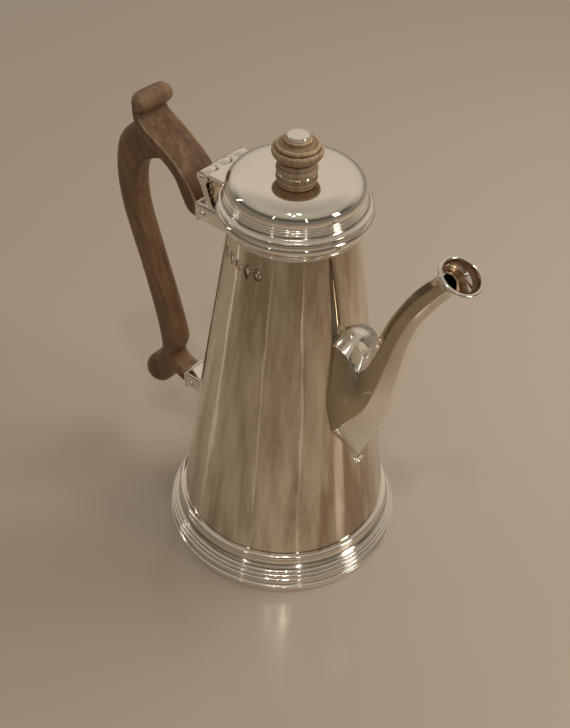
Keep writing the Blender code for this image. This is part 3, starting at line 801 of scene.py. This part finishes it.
# %% Loft the mouth ring
def lip_rings(sides=80):
    start, start_tilt = Vector((75.5, 180.7)), math.radians(52)
    end, end_tilt = Vector((79.0, 184.6)), math.radians(66)
    # Each step: the share of the flare, the distance beyond it along the axis, the radius.
    walk = [(-0.15, 0.0, 5.0), (0.1, 0.0, 5.45), (0.3, 0.0, 5.95), (0.5, 0.0, 6.6),
            (0.7, 0.0, 7.4), (0.86, 0.0, 8.15), (0.95, 0.0, 8.6)]
    for degrees in range(-62, 205, 19):
        a = math.radians(degrees)
        walk.append((1.0, 0.5 + 0.85 * math.sin(a), 8.55 + 0.85 * math.cos(a)))
    walk += [(0.93, 0.0, 7.75), (0.82, 0.0, 7.55), (0.66, 0.0, 7.15), (0.46, 0.0, 6.55),
             (0.22, 0.0, 5.7), (0.0, 0.0, 4.95), (-0.22, 0.0, 4.45), (-0.5, 0.0, 4.15),
             (-0.85, 0.0, 4.05)]
    rings = []
    for flare, beyond, radius in walk:
        tilt = mix(start_tilt, end_tilt, flare)
        axis = Vector((math.cos(tilt), math.sin(tilt)))
        middle = start.lerp(end, flare) + axis * beyond
        across = Vector((axis.y, -axis.x))
        ring = []
        for k in range(sides):
            angle = math.tau * k / sides
            spot = middle + across * radius * math.cos(angle)
            ring.append(Vector((spot.x, radius * math.sin(angle), spot.y)))
        rings.append(ring)
    return rings


def faces_throat(face):
    """True for a face that looks into the open mouth."""
    inward = Vector((77.4, 0, 184.6)) - face.calc_center_median()
    return inward.normalized().dot(face.normal) > 0.55


finish_piece("spout_mouth_ring", lofted(lip_rings()), silver_cast, "pot", ["spout_lip"], crease=40,
             inner=(silver_inside, faces_throat))

# %% [markdown]
# ## The lip under the keel
#
# Where the two halves of the casting meet the body, a small bright bead of metal finishes the
# point of the keel. A ball of solder would be rounder; a flattened ball trimmed to the cone sits
# on the wall as a filed bead does.

# %% Trim a bead to the body
def keel_lip():
    bm = bmesh.new()
    z = 62.0
    at = Matrix.Translation((body_radius(z), 0, z)) @ Matrix.Diagonal((1.7, 3.1, 1.15, 1.0))
    bmesh.ops.create_uvsphere(bm, u_segments=32, v_segments=20, radius=1.0, matrix=at)
    return carve(bm, [body_cone(-SEAM)])


finish_piece("keel_lip", keel_lip(), silver_cast, "pot", ["spout_drop"])

# %% [markdown]
# ## The handle
#
# The carver saws a side view out of a plank and then rounds it. A curve with a round bevel would
# give an even tube, which a carved handle is not. The loop is made the carver's way here:
# an outline is filled and extruded, and its edges are rounded by insetting each cheek in steps.
# The broad stem needs a section that changes along its length, so it is lofted. The rolled thumb
# piece is a barrel across the top. A voxel remesh then joins the three into one skin, as carving
# does, and a little smoothing takes the saw-sharp corners off.

# %% Outline of the loop and line of the stem
LOOP_OUTER = [(74.0, 183.0), (80.0, 186.0), (85.0, 186.4), (89.9, 184.0), (93.9, 180.6),
              (97.3, 176.4), (99.3, 172.2), (100.6, 167.6), (101.5, 162.0), (HANDLE_REACH, 156.0),
              (101.5, 149.6), (100.5, 142.6), (98.9, 135.4), (95.7, 125.6), (90.3, 110.5),
              (85.4, 95.0), (81.2, 80.0), (78.8, 67.0), (79.2, 60.5), (83.0, 55.0), (88.6, 48.6),
              (91.0, 42.6), (89.6, 37.4), (85.0, 35.0), (79.6, 36.4), (75.4, 40.6), (72.2, 45.6),
              (68.6, 48.8)]
LOOP_INNER = [(67.6, 57.8), (69.4, 60.8), (66.6, 69.4), (68.4, 78.5), (73.4, 94.5), (78.8, 110.0),
              (84.2, 125.8), (87.8, 137.0), (89.3, 147.6), (89.1, 155.0), (87.8, 161.2),
              (84.6, 165.8), (80.0, 169.4), (74.3, 172.0), (68.0, 173.6)]
HEEL_SOCKET_END = -node_box("lower_socket")[0].x


# %% Saw out the loop and round its edges
def loop_blank(half_width=5.9, rounding=3.7, steps=7):
    """The sawn outline as a thick plate, its two cheeks inset along a quarter circle."""
    heel = [(HEEL_SOCKET_END + 0.2, 47.2), (HEEL_SOCKET_END + 0.2, 55.4)]
    line = smooth_line(LOOP_OUTER, 4) + heel + smooth_line(LOOP_INNER, 4)
    bm = bmesh.new()
    flat = half_width - rounding
    cheek = bm.faces.new([bm.verts.new((-point[0], -flat, point[1])) for point in line])
    grown = bmesh.ops.extrude_face_region(bm, geom=[cheek])
    moved = [v for v in grown["geom"] if isinstance(v, bmesh.types.BMVert)]
    bmesh.ops.translate(bm, vec=(0, 2 * flat, 0), verts=moved)
    bmesh.ops.recalc_face_normals(bm, faces=bm.faces)
    for cheek in [f for f in bm.faces if len(f.verts) > 4]:
        for step in range(steps):
            here, there = (math.radians(90 * k / steps) for k in (step, step + 1))
            inward = rounding * (math.cos(here) - math.cos(there))
            outward = rounding * (math.sin(there) - math.sin(here))
            bmesh.ops.inset_region(bm, faces=[cheek], thickness=inward, depth=outward,
                                   use_even_offset=False)
    return bm


# %% Loft the stem with a flat crowned top and a rounded underside
STEM = [   # top point, underside point, half width, roundness of the underside
    (47.8, 164.3, 47.8, 156.3, 9.0, 0.1), (50.6, 168.8, 52.8, 156.6, 9.0, 0.3),
    (53.8, 173.2, 57.2, 160.8, 9.05, 0.6), (57.6, 176.8, 61.8, 166.6, 9.1, 0.9),
    (62.2, 180.1, 67.2, 170.8, 9.15, 1.0), (67.4, 183.4, 72.6, 173.8, 9.2, 1.0),
    (72.6, 186.2, 78.4, 177.0, 9.3, 1.0), (77.0, 188.5, 84.0, 181.6, 9.3, 1.0),
    (80.0, 190.9, 87.0, 187.4, 9.0, 1.0), (80.8, 194.2, 87.2, 193.8, 8.9, 0.9),
    (80.9, 197.8, 86.0, 199.0, 8.9, 0.8), (80.6, 200.9, 84.2, 202.0, 9.0, 0.5)]


def stem_ring(station, points=44):
    """A section with a flat, slightly crowned top, crisp arrises and a round underside."""
    top, under = Vector(station[0:2]), Vector(station[2:4])
    half_width, roundness = station[4:6]
    depth = (top - under).length
    down = (under - top).normalized()
    side = mix(0.9 * depth, 0.16 * depth, roundness)
    ring = []
    for k in range(points // 2 + 1):
        angle = math.pi * k / (points // 2)
        y = half_width * math.cos(angle) / max(abs(math.cos(angle)), 0.001) \
            * min(1.0, abs(math.cos(angle))) ** mix(0.35, 0.9, roundness)
        ring.append((y, side + (depth - side) * math.sin(angle) ** mix(0.35, 0.9, roundness)))
    across = points // 2 - 2
    for k in range(across + 1):
        y = half_width * (-1 + 2 * k / across)
        ring.append((y, -0.55 * (1 - (y / half_width) ** 2)))
    spots = []
    for y, level in ring:
        spot = top + down * level
        spots.append(Vector((-spot.x, y, spot.y)))
    return spots


# %% The barrel under the thumb
def thumb_roll(sides=44, rows=30):
    """A barrel across the stem, fuller in the middle and domed at its ends."""
    s, z, radius, half_width = 80.3, 198.1, 4.35, 10.7
    rings = []
    for k in range(rows + 1):
        y = half_width * math.sin(math.pi * (k / rows - 0.5)) * 0.999
        swell = radius * (1 - 0.06 * (y / half_width) ** 2) * (1 - abs(y / half_width) ** 7) ** 0.5
        ring = []
        for j in range(sides):
            angle = math.tau * j / sides
            ring.append(Vector((-s - swell * math.cos(angle), y, z + swell * math.sin(angle))))
        rings.append(ring)
    return lofted(rings, close=False)


# %% Join the three by remeshing, and smooth the skin
def joined_skin(parts, voxel, passes):
    """One closed skin over several overlapping closed parts."""
    bm = bmesh.new()
    for part in parts:
        mesh = bpy.data.meshes.new("part")
        part.to_mesh(mesh)
        part.free()
        bm.from_mesh(mesh)
        bpy.data.meshes.remove(mesh)
    work = lent_out("work", bm)
    step = work.modifiers.new("skin", "REMESH")
    step.mode = "VOXEL"
    step.voxel_size = voxel
    skin = taken_back(work)
    for _ in range(passes):
        bmesh.ops.smooth_vert(skin, verts=skin.verts, factor=0.5,
                              use_axis_x=True, use_axis_y=True, use_axis_z=True)
    return skin


stem = lofted([stem_ring(station) for station in smooth_line(STEM, 5)], close=False)
carved = joined_skin([loop_blank(), stem, thumb_roll()], 0.42, 3)
finish_piece("carved_handle", carved, handle_wood, "pot", ["handle"],
             crease=60)

# %% [markdown]
# ## Sockets and pins
#
# Two short silver boxes are soldered to the body, and the handle's tenons are pinned into them.
# They could be folded from a flat pattern as the smith does it. A bevelled cube gives the same
# soft corners in one step. A thin collar at each mouth is the thickened edge that stops the
# sheet from splitting.

# %% Build the two sockets
def soft_box(low, high, rounding, segments=4):
    """A box between two corners, with rounded edges."""
    bm = bmesh.new()
    low, high = Vector(low), Vector(high)
    place = Matrix.Translation((low + high) / 2) @ Matrix.Diagonal((*(high - low), 1))
    bmesh.ops.create_cube(bm, size=1.0, matrix=place)
    bmesh.ops.bevel(bm, geom=list(bm.edges), offset=rounding, segments=segments, profile=0.5,
                    affect="EDGES", material=-1)
    return bm


def socket(node, rounding, wall=1.5):
    """A box from the body's wall to the socket's mouth, with a collar and a shallow pocket."""
    low, high = node_box(node)
    shell = soft_box((low.x, low.y, low.z), (-18.0, high.y, high.z), rounding)
    collar = soft_box((low.x, low.y - 0.35, low.z - 0.35),
                      (low.x + 1.3, high.y + 0.35, high.z + 0.35), 0.5)
    shell = carve(shell, [collar], "UNION")
    pocket = soft_box((low.x - 5, low.y + wall, low.z + wall),
                      (low.x + 2.0, high.y - wall, high.z - wall), 0.4)
    return carve(shell, [body_cone(-SEAM), pocket])


finish_piece("top_socket", socket("upper_socket", 1.9), silver_cast, "pot", ["upper_socket"])
finish_piece("heel_socket", socket("lower_socket", 1.6), silver_cast, "pot", ["lower_socket"])

# %% [markdown]
# ## The socket pins
#
# A silver pin runs through each socket and tenon, and its ends are filed into low domes. Both
# ends are the same, so half a profile is written and mirrored, then spun and laid across the pot.

# %% Pins with domed heads
def cross_pin(s, z, half_profile, turns=40):
    """A turned pin lying across the pot, the same at both ends."""
    profile = half_profile + [(radius, -along) for radius, along in reversed(half_profile)]
    bm = spun(profile, turns, closed=False)
    lay_down = Matrix.Translation((-s, 0, z)) @ Matrix.Rotation(math.pi / 2, 4, "X")
    bmesh.ops.transform(bm, matrix=lay_down, verts=bm.verts)
    return bm


HEAD_R, HEAD_RISE = 1.7, 1.25
for piece_name, node in (("top_socket_pin", "upper_socket_pin"),
                         ("heel_socket_pin", "lower_socket_pin")):
    low, high = node_box(node)
    s, z, face = -(low.x + high.x) / 2, (low.z + high.z) / 2, high.y - 1.3
    dome = [(0.0, face + HEAD_RISE)]
    dome += [(HEAD_R * math.sin(a), face + HEAD_RISE * math.cos(a))
             for a in [math.radians(d) for d in range(15, 91, 15)]]
    pin = cross_pin(s, z, dome + [(0.9, face - 0.2)])
    finish_piece(piece_name, pin, silver_cast, "pot", [node])

# %% [markdown]
# ## The hinge
#
# Five knuckles share one pin. The two outer ones and the middle one stand on a plate that rises
# from the top socket, and the two between them belong to the lid. One long cylinder with lines
# drawn on it would do while the lid is shut, but the halves part when it opens. So each knuckle
# is turned by itself, with its ends just eased, and the joints between them read as fine lines.

# %% Knuckles, plate and leaf
KNUCKLE_R = 3.0
PLATE_TOP = HINGE_Z - 2.2
LEAF_TOP = 184.75
FIXED = [(-13.0, -6.0), (-2.8, 2.8), (6.0, 13.0)]      # each knuckle's two ends, across the pot
MOVING = [(-5.85, -2.95), (2.95, 5.85)]


def knuckle(start, end, ease=0.22):
    """One cylinder of the hinge, between two places across the pot."""
    ring = [(0.0, end), (KNUCKLE_R - ease, end), (KNUCKLE_R - 0.3 * ease, end - 0.3 * ease),
            (KNUCKLE_R, end - ease), (KNUCKLE_R, start + ease),
            (KNUCKLE_R - 0.3 * ease, start + 0.3 * ease), (KNUCKLE_R - ease, start), (0.0, start)]
    bm = spun(ring, 48, closed=False)
    lay_down = Matrix.Translation((-HINGE_S, 0, HINGE_Z)) @ Matrix.Rotation(-math.pi / 2, 4, "X")
    bmesh.ops.transform(bm, matrix=lay_down, verts=bm.verts)
    return bm


def fixed_half():
    """The upright plate, narrower at its foot, with a web under each fixed knuckle."""
    low, high = node_box("hinge_plate")
    plate = soft_box((-41.2, -13.0, low.z - 0.2), (-37.8, 13.0, PLATE_TOP), 0.5)
    for vert in plate.verts:
        drop = (PLATE_TOP - vert.co.z) / (PLATE_TOP - low.z)
        vert.co.y *= mix(1.0, 0.68, smooth_step(drop))
    webs = [soft_box((-40.9, start, 178.4), (-38.1, end, HINGE_Z), 0.2) for start, end in FIXED]
    return carve(plate, webs + [knuckle(start, end) for start, end in FIXED], "UNION")


def moving_half():
    """The leaf, cut to the round of the lid, with a web to each moving knuckle."""
    leaf = soft_box((-36.0, -12.6, LEAF_TOP - 1.5), (-24.0, 12.6, LEAF_TOP), 0.25)
    leaf = carve(leaf, [spun([(0, 200), (29.35, 200), (29.35, 170), (0, 170)], 128)])
    webs = [soft_box((-HINGE_S, start, 182.9), (-35.0, end, LEAF_TOP), 0.2)
            for start, end in MOVING]
    return carve(leaf, webs + [knuckle(start, end) for start, end in MOVING], "UNION")


finish_piece("hinge_fixed_half", fixed_half(), silver_cast, "pot", ["hinge_plate"])
finish_piece("hinge_moving_half", moving_half(), silver_cast, "lid", ["lid_hinge_leaf"])

# %% The hinge pin
PIN_FACE = 13.0     # where the outer knuckles end and the pin's riveted heads begin
PIN_HEAD = [(0.0, 0.9), (0.8, 0.82), (1.4, 0.5), (1.7, 0.05), (1.2, -0.3)]
hinge_pin = cross_pin(HINGE_S, HINGE_Z, [(radius, PIN_FACE + rise) for radius, rise in PIN_HEAD])
finish_piece("hinge_pin_turned", hinge_pin, silver_cast, "pot", ["hinge_pin"])

# %% [markdown]
# ## The lid
#
# The lid is a low dome with a nearly flat crown, a tight shoulder, and a moulded flange soldered
# under it. The whole lid could be one profile. But the dome, the flange and the ring that centres
# the lid in the mouth are three pieces on the bench, and stay three here, so that the seam between
# dome and flange is a real one.

# %% Turn the dome, the flange and the inner ring
def dome_profile():
    crown = [(7.0, 196.38), (13.0, 196.25), (18.5, 195.98), (22.6, 195.5), (25.4, 194.6)]
    shoulder = [(27.4, 193.0), (28.4, 191.2), (28.75, 189.4), (28.5, 187.9)]
    inner = [(27.3, 187.9), (27.5, 189.4), (26.3, 191.6), (24.4, 193.1), (20.0, 194.3),
             (12.0, 194.9), (1.8, 195.1)]
    return [(1.8, 196.4)] + smooth_line(crown + shoulder, 5) + inner


def under_dome(face):
    """True for a face on the inside of the dome."""
    return face.calc_center_median().z < 195.5 and faces_axis(face)


def flange_profile():
    neck = arc(28.55, 187.35, 0.5, 90, -60, 6)
    reeds = arc(28.75, 186.35, 0.5, 60, -60, 6) + arc(28.95, 185.35, 0.55, 60, -50, 6)
    cove = smooth_line([(29.35, 184.75), (29.9, 184.0), (31.0, 183.55)], 5)
    edge = arc(FLANGE_R - 0.45, 182.95, 0.45, 80, -80, 7)
    low = [(FLANGE_R - 0.9, 182.15), (23.9, 182.15), (23.9, 187.85)]
    return neck + reeds + cove + edge + low


def inner_ring_profile():
    radius = 23.85
    return [(radius, 187.2), (radius, 177.0)] + arc(radius - 0.55, 176.9, 0.55, 0, -180, 8) \
        + [(radius - 1.1, 187.2)]


finish_piece("lid_dome", spun(dome_profile(), 176), silver_sheet, "lid", ["lid_cover"],
             inner=(silver_inside, under_dome))
finish_piece("lid_flange_moulding", spun(flange_profile(), 176), silver_cast, "lid",
             ["lid_flange"])
finish_piece("lid_inner_ring", spun(inner_ring_profile(), 128), silver_sheet, "lid",
             ["lid_bezel"])

# %% [markdown]
# ## The knob
#
# The knob is turned between centres: a bead at the bottom, a narrow neck, a broad flattened ball
# with two scored lines, and a seat on top for the silver cap. Stacked spheres and rings would
# leave gaps between them; one spun profile is what a lathe leaves. Each member is named in it.

# %% Turn the knob
def knob_profile():
    seat = [(1.7, 211.3), (4.9, 211.3)] + arc(5.1, 210.9, 0.4, 90, 0, 4)
    upper = smooth_line([(5.5, 210.5), (5.8, 209.8), (6.9, 209.25)], 4)
    ring = arc(8.0, 208.25, 1.0, 110, -10, 8)
    score = [(8.95, 207.75), (8.85, 207.5), (9.2, 207.5)]
    ball = smooth_line([(9.35, 207.55), (10.05, 207.15), (10.4, 206.2), (10.2, 204.9),
                        (9.4, 203.8), (8.3, 203.0), (7.7, 202.75)], 4)
    neck = [(7.3, 202.65), (7.05, 202.3), (7.2, 201.9)]
    band = smooth_line([(7.65, 201.8), (8.0, 201.2), (8.0, 200.4), (7.75, 200.0)], 4)
    foot = smooth_line([(7.95, 199.7), (8.4, 199.0), (8.5, 198.2), (8.3, 197.4)], 4)
    foot = [(7.6, 199.85)] + foot + [(8.0, 197.0), (1.7, 197.0)]
    return seat + upper + ring + score + ball + neck + band + foot


finish_piece("turned_knob", spun(knob_profile(), 128), knob_wood, "lid", ["finial"])

# %% [markdown]
# ## The screw through the knob
#
# A long screw with a silver cap holds the knob. It passes through a thin collar and the lid to a
# washer and a nut inside. Only the cap and the collar's edge are seen while the lid is shut, but
# the rest comes into view when it opens. The nut is a six-sided cone primitive, bevelled and bored.

# %% Collar, cap and screw, washer, nut
collar = [(1.8, 196.95), (7.6, 196.95)] + arc(7.65, 196.68, 0.26, 85, -80, 6) \
    + [(7.6, 196.4), (1.8, 196.4)]
finish_piece("knob_collar", spun(collar, 96), silver_cast, "lid", ["finial_collar"])
cap = [(0, 213.15), (2.0, 213.12), (3.6, 213.0)] + arc(3.95, 212.25, 0.72, 80, 0, 6) \
    + [(4.7, 211.5), (4.65, 211.25), (1.4, 211.2), (1.4, 189.2), (1.0, 188.6), (0, 188.6)]
finish_piece("knob_cap_and_screw", spun(cap, 72), silver_cast, "lid", ["finial_screw"])
washer = [(1.8, 194.9), (4.9, 194.85), (5.0, 194.6), (5.0, 194.1), (4.8, 193.9), (1.8, 193.9)]
finish_piece("knob_washer", spun(washer, 64), silver_cast, "lid", ["finial_washer"])


NUT_CENTRE = Matrix.Translation((0, 0, 192.3))


def hexagon_nut():
    """A six-sided nut with eased edges and a bore."""
    bm = bmesh.new()
    bmesh.ops.create_cone(bm, cap_ends=True, segments=6, radius1=3.9, radius2=3.9, depth=2.6,
                          matrix=NUT_CENTRE)
    bmesh.ops.bevel(bm, geom=list(bm.edges), offset=0.25, segments=2, profile=0.5,
                    affect="EDGES", material=-1)
    bore = bmesh.new()
    bmesh.ops.create_cone(bore, cap_ends=True, segments=32, radius1=1.5, radius2=1.5, depth=8,
                          matrix=NUT_CENTRE)
    return carve(bm, [bore])


finish_piece("knob_nut", hexagon_nut(), silver_cast, "lid", ["finial_nut"])

# %% [markdown]
# ## The floor
#
# Polished silver shows its room and not itself, so the room matters as much as the metal. A pale
# satin floor gives the body its warm middle tone. Matt card would do that too, but only a floor
# with a little gloss mirrors the lamps, and they draw the upright streaks on the body.

# %% Lay the floor
FLOOR_PAINT = (0.47, 0.405, 0.325, 1)


def pale_floor():
    bm = bmesh.new()
    bmesh.ops.create_grid(bm, x_segments=1, y_segments=1, size=4.0)
    mesh = bpy.data.meshes.new("floor")
    bm.to_mesh(mesh)
    bm.free()
    skin = bpy.data.materials.new("floor_paint")
    skin.use_nodes = True
    shader = skin.node_tree.nodes["Principled BSDF"]
    shader.inputs["Base Color"].default_value = FLOOR_PAINT
    shader.inputs["Roughness"].default_value = 0.14
    mesh.materials.append(skin)
    floor = bpy.data.objects.new("floor", mesh)
    bpy.context.scene.collection.objects.link(floor)
    return floor


print("stage:", pale_floor().name)

# %% [markdown]
# ## The room
#
# A plain grey world makes silver look like grey card. Modelling a whole room would light it well,
# but a few soft tones are enough and are easy to change. The world is two gradients by height: a
# bright wall behind the pot, which the flat lid mirrors, and dimmer air in front, which keeps dark
# lines in the mouldings. A dot product with the wall's direction blends the two.

# %% A bright wall and dim air
WALL_TONES = [(0.0, 0.2), (0.12, 0.36), (0.35, 0.54), (0.62, 0.58), (0.85, 0.42), (1.0, 0.36)]
AIR_TONES = [(0.0, 0.2), (0.14, 0.13), (0.32, 0.07), (0.46, 0.17), (0.6, 0.35), (0.85, 0.42),
             (1.0, 0.36)]
WALL_AZIMUTH = math.radians(122)


def tone_ramp(tree, height, tones):
    """A warm grey for each height, from (height, brightness) stops."""
    ramp = add_node(tree, "ShaderNodeValToRGB", {0: height})
    stops = ramp.color_ramp.elements
    ramp.color_ramp.interpolation = "EASE"
    stops.remove(stops[1])
    for index, (position, level) in enumerate(tones):
        stop = stops[0] if index == 0 else stops.new(position)
        stop.position = position
        stop.color = (level, level * 0.885, level * 0.735, 1)
    return ramp.outputs[0]


def soft_sky():
    world = bpy.data.worlds.new("studio")
    bpy.context.scene.world = world
    world.use_nodes = True
    tree = world.node_tree
    where = add_node(tree, "ShaderNodeTexCoord").outputs["Generated"]
    height = add_node(tree, "ShaderNodeSeparateXYZ", {0: where}).outputs[2]
    to_wall = (math.cos(WALL_AZIMUTH), math.sin(WALL_AZIMUTH), 0.0)
    toward = add_node(tree, "ShaderNodeVectorMath", {0: where, 1: to_wall},
                      operation="DOT_PRODUCT").outputs["Value"]
    amount = add_node(tree, "ShaderNodeMapRange", {0: toward, 1: 0.0, 2: 0.7},
                      interpolation_type="SMOOTHSTEP").outputs[0]
    colour = blend_colour(tree, amount, tone_ramp(tree, height, AIR_TONES),
                          tone_ramp(tree, height, WALL_TONES))
    tree.links.new(colour, tree.nodes["Background"].inputs[0])
    tree.nodes["Background"].inputs[1].default_value = 1.0
    return world


print("world:", soft_sky().name)

# %% [markdown]
# ## The lamps
#
# A sun lamp would put one hard glint on every moulding. Soft boxes are used as in a studio. Tall
# ones stand low round the pot: the floor mirrors them faintly, and the cone of the body draws each
# into a long upright streak. The key box lights the wood and the floor from one side and is kept
# out of the reflections. Three small lamps overhead leave the bright points on the lid's shoulder.

# %% Hang the soft boxes
def soft_box_light(name, azimuth, elevation, distance, width, height, power, mirrored):
    """An area light aimed at the middle of the pot; azimuth 0 is +X, in degrees."""
    data = bpy.data.lights.new(name, "AREA")
    data.shape = "RECTANGLE"
    data.size, data.size_y = width, height
    data.energy = power
    data.color = (1.0, 0.95, 0.88)
    lamp = bpy.data.objects.new(name, data)
    a, e = math.radians(azimuth), math.radians(elevation)
    away = Vector((math.cos(a) * math.cos(e), math.sin(a) * math.cos(e), math.sin(e)))
    target = Vector((AXIS_X, 0, 0.1))
    lamp.location = target + away * distance
    lamp.rotation_euler = away.to_track_quat("Z", "Y").to_euler()
    lamp.visible_camera = False
    lamp.visible_glossy = mirrored
    bpy.context.scene.collection.objects.link(lamp)


LAMPS = [     # name, azimuth, elevation, distance, width, height, power, seen in reflections
    ("key_box", 60, 47, 0.68, 0.36, 0.3, 1.9, False),
    ("side_box", 14, 22, 1.3, 0.2, 0.45, 2.0, True),
    ("side_strip", -34, 24, 1.5, 0.03, 0.6, 0.35, True),
    ("front_strip", -84, 24, 1.7, 0.025, 0.6, 0.25, True),
    ("far_strip", -150, 22, 1.6, 0.06, 0.7, 0.5, True),
    ("small_lamp_left", -66, 66, 1.5, 0.04, 0.04, 1.0, True),
    ("small_lamp_right", -42, 68, 1.5, 0.06, 0.06, 1.4, True),
    ("small_lamp_high", -54, 58, 1.5, 0.03, 0.03, 0.5, True)]
for lamp in LAMPS:
    soft_box_light(*lamp)
print("lamps:", len(LAMPS))

# %% [markdown]
# ## The camera
#
# The eye stands above and to the spout's right, looking down at about 42 degrees, and its head is
# tilted a little. A Track To constraint could aim it, but it could not keep the tilt, so the
# three axes of the view are worked out and written into the camera's matrix.

# %% Stand the camera
EYE = Vector((235.9, -296.6, 434.75)) * MM + Vector((AXIS_X, 0, 0))
LOOK_AZIMUTH, LOOK_DOWN, ROLL = math.radians(128.73), 0.7324, 0.0412


def place_camera():
    data = bpy.data.cameras.new("camera")
    data.sensor_fit = "HORIZONTAL"
    data.sensor_width = 36.0
    data.lens = 70.8
    data.clip_start = 0.01
    camera = bpy.data.objects.new("camera", data)
    ahead = Vector((math.cos(LOOK_AZIMUTH) * math.cos(LOOK_DOWN),
                    math.sin(LOOK_AZIMUTH) * math.cos(LOOK_DOWN), -math.sin(LOOK_DOWN)))
    right = ahead.cross(Vector((0, 0, 1))).normalized()
    up = right.cross(ahead)
    tilted_right = right * math.cos(ROLL) + up * math.sin(ROLL)
    tilted_up = up * math.cos(ROLL) - right * math.sin(ROLL)
    turn = Matrix((tilted_right, tilted_up, -ahead)).transposed()
    camera.matrix_world = Matrix.Translation(EYE) @ turn.to_4x4()
    bpy.context.scene.collection.objects.link(camera)
    bpy.context.scene.camera = camera


place_camera()
bpy.context.scene.view_settings.view_transform = "Standard"
print("camera looks down", round(math.degrees(LOOK_DOWN), 1), "degrees")
